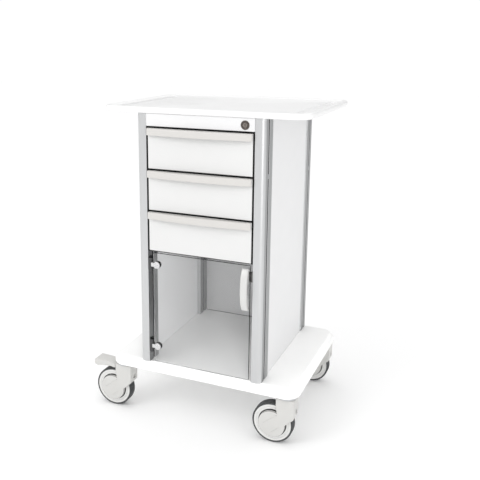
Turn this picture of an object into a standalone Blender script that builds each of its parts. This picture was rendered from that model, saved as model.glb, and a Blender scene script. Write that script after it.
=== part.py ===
"""Instrument cart: an aluminium-post cabinet with three drawers, a lock and a clear door,
under a moulded worktop, on a moulded base with four swivel casters.

Metres, +Z up. The front faces -Y and the floor is Z = 0. The cabinet's own centre line is
the empty "cart", which is set off from the origin so that the origin is at the middle of
the whole object's footprint.
"""

import math

import bmesh
import bpy
from mathutils import Matrix, Vector

# ---------------------------------------------------------------- driving dimensions
GAP = 0.0003  # between pieces that touch

# casters
WHEEL_R = 0.0635
TREAD_W = 0.030
RIM_R = 0.0580
RIM_RING_W = 0.0140  # the rim's flat face
HUB_BORE_R = 0.0060
AXLE_R = 0.0050
CASTER_HEAD = 0.0300  # from the wheel's top to the base
CASTER_X = 0.2735
CASTER_Y = 0.2120
TRAIL = 0.0400
FORK_ARM_T = 0.0060
FORK_DISC_R = 0.0416
FORK_HEAD_HALF = 0.0280
WHEEL_SIDE_CLEAR = 0.0020
WHEEL_TOP_CLEAR = 0.0040
KINGPIN_R = 0.0080
KINGPIN_L = 0.0220
SWIVEL_CLEAR = 0.0005
MOUNT_R = 0.0280
MOUNT_T = 0.0060
PEDAL_W = 0.0420
PEDAL_REACH = 0.0680  # from the wheel's centre
PEDAL_PIVOT_IN = 0.0070  # from the fork head's edge
PEDAL_PIVOT_DOWN = 0.0090  # from the fork head's top
PEDAL_ROOT_R = 0.0058
PEDAL_ROOT_W = 0.0220
PEDAL_PIN_R = 0.0025
PEDAL_PIN_CLEAR = 0.0004
PEDAL_SIDE_CLEAR = 0.0010
PEDAL_SHOULDER_CLEAR = 0.0028  # room for the shoulder to swing in as the pedal goes down

# base
BASE_W = 0.622
BASE_D = 0.496
BASE_T = 0.031
BASE_CORNER_R = 0.045
BASE_SKIRT_T = 0.018
BASE_STEP_IN = 0.012

# cabinet
CAB_W = 0.400
CAB_D = 0.486
CAB_H = 0.784
POST_W = 0.031
REAR_POST_W = 0.019
POST_D = 0.064
POST_CORNER_R = 0.014
SLOT_W = 0.008
SLOT_LIP = 0.0025
SLOT_IN_W = 0.016
SLOT_DEEP = 0.0075
PANEL_T = 0.004
PANEL_INSET = 0.003
HEADER_H = 0.0395
HEADER_T = 0.018
SHELF_T = 0.003
SHELF_BACK = 0.034

# worktop
TOP_W = 0.642
TOP_D = 0.498
TOP_T = 0.018
TOP_CORNER_R = 0.050
TOP_LIP_W = 0.020
TOP_LIP_H = 0.004
HAND_SLOT_W = 0.026
HAND_SLOT_L = 0.380
HAND_SLOT_IN = 0.020  # from the lip to the slot's centre line

# lock
LOCK_X = 0.140
LOCK_BELOW = 0.0195  # below the cabinet's top
LOCK_FLANGE_R = 0.0130
LOCK_FLANGE_T = 0.0020
LOCK_FLANGE_EDGE = 0.0010
LOCK_PLUG_SINK = 0.0006  # the plug's face behind the flange's
LOCK_BARREL_R = 0.0095
LOCK_PLUG_R = 0.0070
LOCK_CAM_L = 0.032
LOCK_CAM_W = 0.010
LOCK_CAM_T = 0.0025
LOCK_BARREL_PAST = 0.004  # how far the barrel reaches behind the header
KEYWAY_W = 0.0014
KEYWAY_H = 0.0084

# drawers
DRAWER_COUNT = 3
DRAWER_PITCH = 0.126
FRONT_GAP = 0.0055
FRONT_T = 0.018
BOX_D = 0.400
BOX_WALL = 0.0025
BOX_DROP = 0.030  # box rim below the front's top edge
BOX_RISE = 0.012  # box floor above the front's bottom edge
PULL_H = 0.021
PULL_END = 0.009
PULL_MID = 0.019
PULL_SKIN = 0.003

# slides
SLIDE_SPACE = 0.0130  # between a post's inner face and the box
RAIL_H = 0.040
RAIL_T = 0.0014
RAIL_FLANGE = 0.0100
RAIL_L = 0.430
RAIL_BRACKET_L = 0.018  # the rail's rear foot, which reaches out to the narrower rear post
RAIL_BRACKET_H = 0.030
RUNNER_H = 0.034
RUNNER_L = 0.390
RUNNER_CLEAR = 0.0008
SLIDE_BELOW_RIM = 0.030  # slide's centre line below the box's rim

# door
DOOR_T = 0.006
DOOR_LEFT = 0.0170  # from the post to the pane
DOOR_RIGHT = 0.0085
DOOR_TOP = 0.0055
DOOR_BOTTOM = 0.0055
DOOR_SET_BACK = 0.0020
HINGE_R = 0.0055
HINGE_FROM_POST = 0.0025  # from the post to the knuckle
LEAF_T = 0.0020
LEAF_D = 0.0200
HINGE_H = 0.042
HINGE_PIN_R = 0.0018
HINGE_PIN_CLEAR = 0.0004
HINGE_FROM_TOP = 0.037  # upper hinge's middle from the pane's upper edge
HINGE_FROM_BOTTOM = 0.052  # lower hinge's middle from its lower edge
CLAMP_R = 0.0110
CLAMP_T = 0.0050
CLAMP_BOLT_R = 0.0040
CLAMP_IN = 0.0125  # clamp's centre from the pane's left edge
HANDLE_L = 0.128
HANDLE_W = 0.020
HANDLE_OUT = 0.023
HANDLE_BAR_T = 0.011
HANDLE_FOOT_L = 0.042
HANDLE_TOP = 0.008  # below the pane's upper edge
HANDLE_EDGE = 0.0020  # in from the pane's free edge
CATCH_H = 0.028
CATCH_D = 0.016
CATCH_TOP = 0.024
STRIKE_T = 0.0020

WHEEL_SEGMENTS = 32
ROUND_SEGMENTS = 20
CORNER_SEGMENTS = 6
SHARP = math.radians(35)

# ---------------------------------------------------------------- worked-out places
CASTER_H = 2 * WHEEL_R + CASTER_HEAD
BASE_TOP = CASTER_H + BASE_T
CAB_TOP = BASE_TOP + CAB_H
FRONT_Y = -CAB_D / 2
REAR_Y = CAB_D / 2
OPENING_W = CAB_W - 2 * POST_W
DRAWERS_TOP = CAB_TOP - HEADER_H
DRAWERS_BOTTOM = DRAWERS_TOP - DRAWER_COUNT * DRAWER_PITCH
FRONT_W = OPENING_W - 2 * FRONT_GAP
FRONT_H = DRAWER_PITCH - FRONT_GAP
BOX_W = OPENING_W - 2 * SLIDE_SPACE
FORK_IN = TREAD_W / 2 + WHEEL_SIDE_CLEAR
FORK_OUT = FORK_IN + FORK_ARM_T
HEAD_TOP = CASTER_H - GAP - MOUNT_T - SWIVEL_CLEAR
PANE_LEFT = -OPENING_W / 2 + DOOR_LEFT
PANE_RIGHT = OPENING_W / 2 - DOOR_RIGHT
PANE_TOP = DRAWERS_BOTTOM - DOOR_TOP
PANE_BOTTOM = BASE_TOP + DOOR_BOTTOM
PANE_FRONT = FRONT_Y + DOOR_SET_BACK
PANE_BACK = PANE_FRONT + DOOR_T
HINGE_X = -OPENING_W / 2 + HINGE_R + HINGE_FROM_POST
HINGE_Y = FRONT_Y + HINGE_R * 0.4
HEAD_LEFT = TRAIL - FORK_HEAD_HALF
HEAD_RIGHT = TRAIL + FORK_HEAD_HALF
PEDAL_X = HEAD_LEFT + PEDAL_PIVOT_IN
PEDAL_Z = HEAD_TOP - WHEEL_R - PEDAL_PIVOT_DOWN
REACH_LEFT = CASTER_X + TRAIL + max(PEDAL_REACH, WHEEL_R)
REACH_RIGHT = max(TOP_W, BASE_W) / 2
REACH_FRONT = -PANE_FRONT + GAP + HANDLE_OUT
REACH_REAR = max(TOP_D, BASE_D) / 2
CART_X = (REACH_LEFT - REACH_RIGHT) / 2
CART_Y = (REACH_FRONT - REACH_REAR) / 2


# ---------------------------------------------------------------- making tools
def clear_scene():
    for obj in list(bpy.data.objects):
        bpy.data.objects.remove(obj, do_unlink=True)


def finish_of(name, colour, roughness, metallic=0.0, alpha=1.0):
    """A plain Principled material, made once."""
    found = bpy.data.materials.get(name)
    if found:
        return found
    material = bpy.data.materials.new(name)
    material.use_nodes = True
    shader = material.node_tree.nodes["Principled BSDF"]
    shader.inputs["Base Color"].default_value = (*colour, 1.0)
    shader.inputs["Roughness"].default_value = roughness
    shader.inputs["Metallic"].default_value = metallic
    shader.inputs["Alpha"].default_value = alpha
    return material


def white_shell():
    return finish_of("white_shell", (0.86, 0.86, 0.86), 0.38)


def white_panel():
    return finish_of("white_panel", (0.80, 0.80, 0.80), 0.42)


def drawer_white():
    return finish_of("drawer_white", (0.83, 0.83, 0.83), 0.40)


def pull_grey():
    return finish_of("pull_grey", (0.68, 0.66, 0.63), 0.45)


def anodised():
    return finish_of("anodised", (0.62, 0.63, 0.64), 0.38, 0.9)


def zinc():
    return finish_of("zinc", (0.55, 0.56, 0.57), 0.35, 1.0)


def chrome():
    return finish_of("chrome", (0.75, 0.75, 0.76), 0.15, 1.0)


def caster_grey():
    return finish_of("caster_grey", (0.60, 0.59, 0.57), 0.45)


def rim_grey():
    return finish_of("rim_grey", (0.66, 0.66, 0.65), 0.45)


def tyre_grey():
    return finish_of("tyre_grey", (0.055, 0.058, 0.060), 0.65)


def clear_pane():
    return finish_of("clear_pane", (0.90, 0.92, 0.92), 0.05, 0.0, 0.25)


def black_plastic():
    return finish_of("black_plastic", (0.02, 0.02, 0.02), 0.5)


def empty(name, place, parent=None):
    """An empty that a moving group hangs on."""
    made = bpy.data.objects.new(name, None)
    made.location = place
    made.parent = parent
    bpy.context.scene.collection.objects.link(made)
    return made


def add_mesh(name, bm, material, parent=None, place=(0, 0, 0)):
    """Turns a bmesh into a named object, facing out and shaded smooth up to SHARP."""
    bmesh.ops.recalc_face_normals(bm, faces=bm.faces)
    mesh = bpy.data.meshes.new(name)
    bm.to_mesh(mesh)
    bm.free()
    mesh.shade_smooth()
    mesh.set_sharp_from_angle(angle=SHARP)
    made = bpy.data.objects.new(name, mesh)
    if material:
        mesh.materials.append(material)
    made.location = place
    made.parent = parent
    bpy.context.scene.collection.objects.link(made)
    return made


def loft_mesh(rings, closed_loop=False):
    """Skins rings of equal length. The first and last are capped, unless they join up."""
    bm = bmesh.new()
    rows = [[bm.verts.new(point) for point in ring] for ring in rings]
    pairs = list(zip(rows, rows[1:]))
    if closed_loop:
        pairs.append((rows[-1], rows[0]))
    for low, high in pairs:
        for i in range(len(low)):
            j = (i + 1) % len(low)
            bm.faces.new((low[i], low[j], high[j], high[i]))
    if not closed_loop:
        bm.faces.new(list(reversed(rows[0])))
        bm.faces.new(rows[-1])
    return bm


def prism_mesh(outline, low, high, turn=None):
    """Extrudes an XY outline from low to high along Z, then turns it by a matrix."""
    bm = loft_mesh([[Vector((x, y, z)) for x, y in outline] for z in (low, high)])
    if turn:
        bmesh.ops.transform(bm, matrix=turn, verts=bm.verts)
    return bm


def box_mesh(low, high):
    """A box between two corners."""
    outline = [(low[0], low[1]), (high[0], low[1]), (high[0], high[1]), (low[0], high[1])]
    return prism_mesh(outline, low[2], high[2])


def turned_mesh(profile, segments, turn=None):
    """Turns a closed outline of (radius, height) about Z, with no point on the axis."""
    rings = []
    for i in range(segments):
        angle = 2 * math.pi * i / segments
        rings.append([Vector((r * math.cos(angle), r * math.sin(angle), z)) for r, z in profile])
    bm = loft_mesh(rings, closed_loop=True)
    if turn:
        bmesh.ops.transform(bm, matrix=turn, verts=bm.verts)
    return bm


def disc_mesh(profile, segments, turn=None):
    """Turns an open outline of (radius, height) about Z and caps both ends flat."""
    rings = []
    for r, z in profile:
        angles = [2 * math.pi * i / segments for i in range(segments)]
        rings.append([Vector((r * math.cos(a), r * math.sin(a), z)) for a in angles])
    bm = loft_mesh(rings)
    if turn:
        bmesh.ops.transform(bm, matrix=turn, verts=bm.verts)
    return bm


def arc(cx, cy, radius, start, end, steps):
    """Points on an arc, from start to end in degrees."""
    angles = [math.radians(start + (end - start) * i / steps) for i in range(steps + 1)]
    return [(cx + radius * math.cos(a), cy + radius * math.sin(a)) for a in angles]


def rounded_rect(width, depth, radius, steps=CORNER_SEGMENTS):
    """A rectangle about the middle with round corners, anticlockwise."""
    x, y = width / 2 - radius, depth / 2 - radius
    points = arc(x, y, radius, 0, 90, steps) + arc(-x, y, radius, 90, 180, steps)
    points += arc(-x, -y, radius, 180, 270, steps) + arc(x, -y, radius, 270, 360, steps)
    return points


def stadium(width, length, steps=8):
    """A slot outline along Y."""
    y = (length - width) / 2
    return arc(0, y, width / 2, 0, 180, steps) + arc(0, -y, width / 2, 180, 360, steps)


def along_y():
    """Turns what was made along +Z to lie along +Y, keeping X."""
    return Matrix.Rotation(math.radians(-90), 4, "X")


def profile_xz():
    """Turns an outline drawn in X and Z into place, its thickness running along Y."""
    return Matrix(((1, 0, 0, 0), (0, 0, 1, 0), (0, 1, 0, 0), (0, 0, 0, 1)))


def profile_yz():
    """Turns an outline drawn in Y and Z into place, its thickness running along X."""
    return Matrix(((0, 0, 1, 0), (1, 0, 0, 0), (0, 1, 0, 0), (0, 0, 0, 1)))


def combine(target, mesh, operation, label):
    """Cuts a hidden helper from the target, or joins it on."""
    helper = add_mesh(f"{target.name}_{label}", mesh, None, target.parent, target.location)
    helper.hide_render = True
    helper.display_type = "WIRE"
    step = target.modifiers.new(label, "BOOLEAN")
    step.operation = operation
    step.solver = "EXACT"
    step.object = helper
    return helper


def cut(target, mesh, label):
    return combine(target, mesh, "DIFFERENCE", label)


def join(target, mesh, label):
    return combine(target, mesh, "UNION", label)


def soften(target, width, segments=2, angle=40):
    """Rounds the sharp edges."""
    step = target.modifiers.new("rounded_edges", "BEVEL")
    step.width = width
    step.segments = segments
    step.limit_method = "ANGLE"
    step.angle_limit = math.radians(angle)
    step.harden_normals = False
    return step


# ---------------------------------------------------------------- base and worktop
def make_base(cart):
    def ring(z, inset):
        outline = rounded_rect(BASE_W - 2 * inset, BASE_D - 2 * inset, BASE_CORNER_R - inset)
        return [Vector((x, y, z)) for x, y in outline]

    low, high = CASTER_H, BASE_TOP
    shoulder = low + BASE_SKIRT_T
    rings = [
        ring(low, 0.003),
        ring(low + 0.003, 0.0),
        ring(shoulder - 0.004, 0.0),
        ring(shoulder, 0.004),
        ring(shoulder + 0.004, BASE_STEP_IN - 0.003),
        ring(high - 0.004, BASE_STEP_IN),
        ring(high, BASE_STEP_IN + 0.004),
    ]
    return add_mesh("base_plate", loft_mesh(rings), white_shell(), cart)


def make_worktop(cart):
    def ring(z, inset):
        outline = rounded_rect(TOP_W - 2 * inset, TOP_D - 2 * inset, TOP_CORNER_R - inset)
        return [Vector((x, y, z)) for x, y in outline]

    low = CAB_TOP + GAP
    high = low + TOP_T
    rings = [
        ring(low, 0.006),
        ring(low + 0.004, 0.001),
        ring(low + 0.008, 0.0),
        ring(high - 0.004, 0.0),
        ring(high, 0.004),
        ring(high, TOP_LIP_W - 0.006),
        ring(high - TOP_LIP_H, TOP_LIP_W),
    ]
    top = add_mesh("worktop", loft_mesh(rings), white_shell(), cart)
    for side, label in ((-1, "left_slot"), (1, "right_slot")):
        x = side * (TOP_W / 2 - TOP_LIP_W - HAND_SLOT_IN)
        hole = prism_mesh(stadium(HAND_SLOT_W, HAND_SLOT_L), low - 0.01, high + 0.01)
        bmesh.ops.translate(hole, vec=(x, 0, 0), verts=hole.verts)
        cut(top, hole, label)
    return top


# ---------------------------------------------------------------- cabinet
def post_outline(width):
    """A post in plan, its rounded corner at +X +Y, a T slot in each wide side."""
    half = POST_D / 2
    mouth, inner = SLOT_W / 2, SLOT_IN_W / 2

    def slot(x, inward):
        """Up the side at x, in and out of the slot, in the direction of travel +Y."""
        lip, deep = x + inward * SLOT_LIP, x + inward * SLOT_DEEP
        return [
            (x, -mouth), (lip, -mouth), (lip, -inner), (deep, -inner),
            (deep, inner), (lip, inner), (lip, mouth), (x, mouth),
        ]

    right, left = width / 2, -width / 2
    corner = arc(right - POST_CORNER_R, half - POST_CORNER_R, POST_CORNER_R, 0, 90, 7)
    points = [(left, -half), (right, -half)] + slot(right, -1) + corner + [(left, half)]
    return points + list(reversed(slot(left, 1)))


def make_posts(cart):
    places = {
        "post_front_left": (-1, -1),
        "post_front_right": (1, -1),
        "post_rear_left": (-1, 1),
        "post_rear_right": (1, 1),
    }
    for name, (sx, sy) in places.items():
        width = POST_W if sy < 0 else REAR_POST_W
        x = sx * (CAB_W - width) / 2
        y = sy * (CAB_D - POST_D) / 2
        outline = [(sx * px + x, sy * py + y) for px, py in post_outline(width)]
        add_mesh(name, prism_mesh(outline, BASE_TOP + GAP, CAB_TOP), anodised(), cart)


def make_panels(cart):
    low, high = BASE_TOP + GAP, CAB_TOP
    y = CAB_D / 2 - POST_D - GAP
    for side, name in ((-1, "side_panel_left"), (1, "side_panel_right")):
        outer = side * (CAB_W / 2 - PANEL_INSET)
        inner = outer - side * PANEL_T
        panel = box_mesh((min(outer, inner), -y, low), (max(outer, inner), y, high))
        add_mesh(name, panel, white_panel(), cart)
    x = CAB_W / 2 - REAR_POST_W - GAP
    back = REAR_Y - PANEL_INSET
    panel = box_mesh((-x, back - PANEL_T, low), (x, back, high))
    add_mesh("back_panel", panel, white_panel(), cart)


def make_header(cart):
    x = OPENING_W / 2 - GAP
    low, high = DRAWERS_TOP + FRONT_GAP / 2, CAB_TOP
    rail = box_mesh((-x, FRONT_Y, low), (x, FRONT_Y + HEADER_T, high))
    header = add_mesh("header_rail", rail, drawer_white(), cart)
    soften(header, 0.001, 2)
    hole_r = LOCK_BARREL_R + GAP
    hole = disc_mesh([(hole_r, -0.02), (hole_r, 0.05)], ROUND_SEGMENTS, along_y())
    bmesh.ops.translate(hole, vec=(LOCK_X, FRONT_Y, CAB_TOP - LOCK_BELOW), verts=hole.verts)
    cut(header, hole, "lock_hole")
    return header


def make_shelf(cart):
    x = OPENING_W / 2 - GAP
    back = REAR_Y - PANEL_INSET - PANEL_T - GAP
    middle = DRAWERS_BOTTOM + FRONT_GAP / 2
    low, high = middle - SHELF_T / 2, middle + SHELF_T / 2
    shelf = box_mesh((-x, FRONT_Y + SHELF_BACK, low), (x, back, high))
    return add_mesh("divider_shelf", shelf, white_panel(), cart)


def make_lock(cart):
    z = CAB_TOP - LOCK_BELOW
    bore = LOCK_PLUG_R + GAP
    barrel_end = HEADER_T + LOCK_BARREL_PAST
    profile = [
        (bore, -LOCK_FLANGE_T), (LOCK_FLANGE_R - LOCK_FLANGE_EDGE, -LOCK_FLANGE_T),
        (LOCK_FLANGE_R, LOCK_FLANGE_EDGE - LOCK_FLANGE_T),
        (LOCK_FLANGE_R, -GAP), (LOCK_BARREL_R, -GAP), (LOCK_BARREL_R, barrel_end),
        (bore, barrel_end),
    ]
    housing = turned_mesh(profile, ROUND_SEGMENTS, along_y())
    add_mesh("lock_housing", housing, chrome(), cart, (LOCK_X, FRONT_Y, z))

    plug_face = LOCK_PLUG_SINK - LOCK_FLANGE_T
    plug_profile = [(LOCK_PLUG_R, plug_face), (LOCK_PLUG_R, barrel_end + 2 * GAP)]
    plug = disc_mesh(plug_profile, ROUND_SEGMENTS, along_y())
    cylinder = add_mesh("lock_cylinder", plug, zinc(), cart, (LOCK_X, FRONT_Y, z))
    cam_half = LOCK_CAM_W / 2
    cam_end = cam_half - LOCK_CAM_L
    outline = arc(0, 0, cam_half, -90, 90, 6) + arc(cam_end, 0, cam_half, 90, 270, 6)
    cam = prism_mesh(outline, barrel_end + GAP, barrel_end + GAP + LOCK_CAM_T, profile_xz())
    join(cylinder, cam, "cam")
    keyway = box_mesh((-KEYWAY_W / 2, -0.01, -KEYWAY_H / 2), (KEYWAY_W / 2, 0.006, KEYWAY_H / 2))
    cut(cylinder, keyway, "keyway")
    return cylinder


# ---------------------------------------------------------------- drawers and slides
def drawer_levels(index):
    """The lowest and highest points of a drawer's front, the first drawer on top."""
    top = DRAWERS_TOP - index * DRAWER_PITCH - FRONT_GAP / 2
    return top - FRONT_H, top


def pull_section(depth):
    """The pull's cross-section as (forward, down) points: a top, a front lip, open below."""
    skin = PULL_SKIN
    return [
        (0.0, 0.0), (depth - 0.004, 0.0), (depth - 0.001, 0.0015), (depth, 0.005),
        (depth, PULL_H - 0.002), (depth - skin / 2, PULL_H), (depth - skin, PULL_H - 0.002),
        (depth - skin, skin + 0.002), (depth - skin - 0.0015, skin), (0.0, skin),
    ]


def make_drawer(cart, index):
    low, high = drawer_levels(index)
    number = index + 1
    slide = empty(f"drawer_{number}_slide", (0, 0, 0), cart)
    x = FRONT_W / 2
    front = box_mesh((-x, FRONT_Y, low), (x, FRONT_Y + FRONT_T, high))
    soften(add_mesh(f"drawer_front_{number}", front, drawer_white(), slide), 0.002, 2)

    rings = []
    steps = 16
    for i in range(steps + 1):
        along = -1 + 2 * i / steps
        depth = PULL_END + (PULL_MID - PULL_END) * (1 - along * along)
        y = FRONT_Y - GAP
        rings.append([Vector((along * x, y - f, high - d)) for f, d in pull_section(depth)])
    add_mesh(f"drawer_pull_{number}", loft_mesh(rings), pull_grey(), slide)

    floor, rim = low + BOX_RISE, high - BOX_DROP
    y0 = FRONT_Y + FRONT_T + GAP
    y1 = y0 + BOX_D
    half, wall = BOX_W / 2, BOX_WALL

    def ring(z, inset):
        a, b = half - inset, inset
        return [Vector(p) for p in ((-a, y0 + b, z), (a, y0 + b, z), (a, y1 - b, z), (-a, y1 - b, z))]

    tray = loft_mesh([ring(floor, 0), ring(rim, 0), ring(rim, wall), ring(floor + wall, wall)])
    add_mesh(f"drawer_box_{number}", tray, white_panel(), slide)

    middle = rim - SLIDE_BELOW_RIM
    for side, label in ((-1, "left"), (1, "right")):
        make_slide(cart, slide, side, f"{label}_{number}", middle, y0)


def make_slide(cart, slide, side, label, middle, y0):
    """A C-section rail on the posts, and the runner on the box that slides inside it."""
    post = OPENING_W / 2 - GAP
    web, lips = post - RAIL_T, post - RAIL_FLANGE
    half = RAIL_H / 2
    section = [
        (post, -half), (post, half), (lips, half), (lips, half - RAIL_T),
        (web, half - RAIL_T), (web, -half + RAIL_T), (lips, -half + RAIL_T), (lips, -half),
    ]
    outline = [(side * px, pz + middle) for px, pz in section]
    rail_mesh = prism_mesh(outline, y0, y0 + RAIL_L, profile_xz())
    rail = add_mesh(f"slide_rail_{label}", rail_mesh, zinc(), cart)
    foot_end = y0 + RAIL_L - RAIL_T
    foot_xs = sorted((side * (web + RAIL_T / 2), side * (CAB_W / 2 - REAR_POST_W - GAP)))
    foot_mesh = box_mesh(
        (foot_xs[0], foot_end - RAIL_BRACKET_L, middle - RAIL_BRACKET_H / 2),
        (foot_xs[1], foot_end, middle + RAIL_BRACKET_H / 2),
    )
    join(rail, foot_mesh, "rear_foot")

    inner = BOX_W / 2 + GAP
    outer = web - RUNNER_CLEAR
    low, high = middle - RUNNER_H / 2, middle + RUNNER_H / 2
    xs = sorted((side * inner, side * outer))
    runner = box_mesh((xs[0], y0 + 0.002, low), (xs[1], y0 + 0.002 + RUNNER_L, high))
    soften(add_mesh(f"slide_runner_{label}", runner, zinc(), slide), 0.001, 1)


# ---------------------------------------------------------------- door
def hinge_heights():
    return {"upper": PANE_TOP - HINGE_FROM_TOP, "lower": PANE_BOTTOM + HINGE_FROM_BOTTOM}


def make_door(cart):
    """The pane, its clamps and its handle hang on an empty that is on the hinge's axis."""
    hinge = empty("door_hinge", (HINGE_X, HINGE_Y, 0), cart)

    def local(x, y, z):
        return (x - HINGE_X, y - HINGE_Y, z)

    pane = add_mesh(
        "door_pane",
        box_mesh(local(PANE_LEFT, PANE_FRONT, PANE_BOTTOM), local(PANE_RIGHT, PANE_BACK, PANE_TOP)),
        clear_pane(),
        hinge,
    )
    clamp_x = PANE_LEFT + CLAMP_IN
    for label, z in hinge_heights().items():
        hole_r = CLAMP_BOLT_R + GAP
        hole = disc_mesh([(hole_r, -0.02), (hole_r, 0.02)], ROUND_SEGMENTS, along_y())
        bmesh.ops.translate(hole, vec=local(clamp_x, PANE_FRONT, z), verts=hole.verts)
        cut(pane, hole, f"{label}_hole")
        make_hinge(cart, hinge, label, z)
    make_handle(hinge, local)


def make_hinge(cart, hinge, label, z):
    """A leaf on the post with two knuckles and the pin, and the clamp that turns on it."""
    third = HINGE_H / 6
    post = -OPENING_W / 2 + GAP
    leaf_mesh = box_mesh(
        (post, HINGE_Y - LEAF_T / 2, z - HINGE_H / 2), (post + LEAF_T, HINGE_Y + LEAF_D, z + HINGE_H / 2)
    )
    leaf = add_mesh(f"hinge_leaf_{label}", leaf_mesh, black_plastic(), cart)
    for sign, part in ((-1, "foot_knuckle"), (1, "head_knuckle")):
        lo, hi = sorted((z + sign * (third + GAP), z + sign * HINGE_H / 2))
        knuckle = disc_mesh([(HINGE_R, lo), (HINGE_R, hi)], ROUND_SEGMENTS)
        bmesh.ops.translate(knuckle, vec=(HINGE_X, HINGE_Y, 0), verts=knuckle.verts)
        join(leaf, knuckle, part)
        arm = box_mesh((post + LEAF_T / 2, HINGE_Y, lo), (HINGE_X, HINGE_Y + 2 * LEAF_T, hi))
        join(leaf, arm, f"{part}_arm")
    pin = disc_mesh([(HINGE_PIN_R, z - third - 0.004), (HINGE_PIN_R, z + third + 0.004)], ROUND_SEGMENTS)
    bmesh.ops.translate(pin, vec=(HINGE_X, HINGE_Y, 0), verts=pin.verts)
    join(leaf, pin, "pin")

    bore = HINGE_PIN_R + HINGE_PIN_CLEAR
    profile = [(bore, z - third), (HINGE_R, z - third), (HINGE_R, z + third), (bore, z + third)]
    clamp = add_mesh(f"hinge_clamp_{label}", turned_mesh(profile, ROUND_SEGMENTS), chrome(), hinge)
    x = PANE_LEFT + CLAMP_IN - HINGE_X
    front = PANE_FRONT - GAP - HINGE_Y
    back = PANE_BACK + GAP - HINGE_Y
    pieces = {
        "front_disc": [(CLAMP_R, front - CLAMP_T), (CLAMP_R, front)],
        "bolt": [(CLAMP_BOLT_R, front - 0.001), (CLAMP_BOLT_R, back + 0.001)],
        "back_disc": [(CLAMP_R, back), (CLAMP_R, back + CLAMP_T)],
    }
    for part, outline in pieces.items():
        disc = disc_mesh(outline, ROUND_SEGMENTS, along_y())
        bmesh.ops.translate(disc, vec=(x, 0, z), verts=disc.verts)
        join(clamp, disc, part)
    reach = bore + 0.001
    arm = box_mesh(
        (reach, front - CLAMP_T + 0.001, z - third + 0.001), (x, front - 0.0005, z + third - 0.001)
    )
    join(clamp, arm, "arm")


def handle_outline():
    """The handle from the side, as (outward, up) from its middle on the pane."""
    half, foot = HANDLE_L / 2, HANDLE_FOOT_L
    outer, inner = [], []
    steps = 12
    for i in range(steps + 1):
        along = 1 - 2 * i / steps
        outer.append((HANDLE_OUT * (1 - abs(along) ** 3.2) + 0.006 * abs(along) ** 3.2, along * half))
    gap_half = half - foot
    for i in range(steps + 1):
        along = -1 + 2 * i / steps
        inner.append(((HANDLE_OUT - HANDLE_BAR_T) * (1 - abs(along) ** 4), along * gap_half))
    return [(0.0, half)] + outer + [(0.0, -half)] + inner


def make_handle(hinge, local):
    outline = handle_outline()
    x1 = PANE_RIGHT - HANDLE_EDGE
    x0 = x1 - HANDLE_W
    z = PANE_TOP - HANDLE_TOP - HANDLE_L / 2
    outline = [(-out, up) for out, up in outline]
    bm = prism_mesh(outline, 0, HANDLE_W, profile_yz())
    bmesh.ops.translate(bm, vec=local(x0, PANE_FRONT - GAP, z), verts=bm.verts)
    handle = add_mesh("door_handle", bm, white_shell(), hinge)
    soften(handle, 0.003, 2, 50)

    z1 = PANE_TOP - CATCH_TOP
    back = PANE_BACK + GAP
    plate = box_mesh(
        local(PANE_RIGHT - 0.018, back, z1 - CATCH_H + 0.003),
        local(PANE_RIGHT - 0.001, back + STRIKE_T, z1 - 0.003),
    )
    add_mesh("door_strike", plate, zinc(), hinge)


def make_catch(cart):
    """The magnetic catch on the front right post, behind the pane's free edge."""
    z1 = PANE_TOP - CATCH_TOP
    y0 = PANE_BACK + 2 * GAP + STRIKE_T
    body = box_mesh(
        (PANE_RIGHT - 0.014, y0, z1 - CATCH_H), (OPENING_W / 2 - GAP, y0 + CATCH_D, z1)
    )
    soften(add_mesh("door_catch", body, black_plastic(), cart), 0.001, 2)


# ---------------------------------------------------------------- casters
def tyre_profile():
    half = TREAD_W / 2
    inner = RIM_R + GAP
    side = [
        (inner, half), (WHEEL_R - 0.0040, half), (WHEEL_R - 0.0013, half - 0.003),
        (WHEEL_R, half - 0.008),
    ]
    return side + [(r, -z) for r, z in reversed(side)]


def wheel_profile():
    rim_half, web_half, hub_half = TREAD_W / 2 - 0.002, 0.0045, TREAD_W / 2 + 0.001
    hub_r = 0.014
    side = [
        (HUB_BORE_R, hub_half), (hub_r, hub_half), (hub_r + 0.002, web_half),
        (RIM_R - RIM_RING_W - 0.002, web_half), (RIM_R - RIM_RING_W, rim_half), (RIM_R, rim_half),
    ]
    return side + [(r, -z) for r, z in reversed(side)]


def fork_outline():
    """The fork from the side, about the wheel's centre, X towards the swivel axis."""
    top = HEAD_TOP - WHEEL_R
    neck = math.degrees(math.acos((HEAD_LEFT + 0.004) / FORK_DISC_R))
    disc = arc(0, 0, FORK_DISC_R, neck, 365, 18)
    return [
        (HEAD_LEFT, top), (HEAD_LEFT, PEDAL_Z - 0.020), *disc,
        (HEAD_RIGHT - 0.006, 0.022), (HEAD_RIGHT, 0.030), (HEAD_RIGHT, top - 0.006),
        (HEAD_RIGHT - 0.006, top),
    ]


def pedal_outline():
    """The brake pedal from the side, about its pivot, its tread reaching to -X."""
    tip = -PEDAL_REACH - PEDAL_X
    root = PEDAL_ROOT_R
    return [
        *arc(0, 0, root, -90, 90, 6), (-0.014, root + 0.001), (-0.030, 0.0105), (tip + 0.010, 0.0125),
        (tip + 0.003, 0.011), (tip, 0.006), (tip + 0.001, -0.004), (tip + 0.010, -0.010),
        (tip + 0.028, -0.007), (-0.026, -0.004), (-0.016, -root),
    ]


def at_wheel(bm):
    """Moves a mesh drawn about the wheel's centre to its place beside the swivel axis."""
    bmesh.ops.translate(bm, vec=(-TRAIL, 0, WHEEL_R), verts=bm.verts)
    return bm


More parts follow.
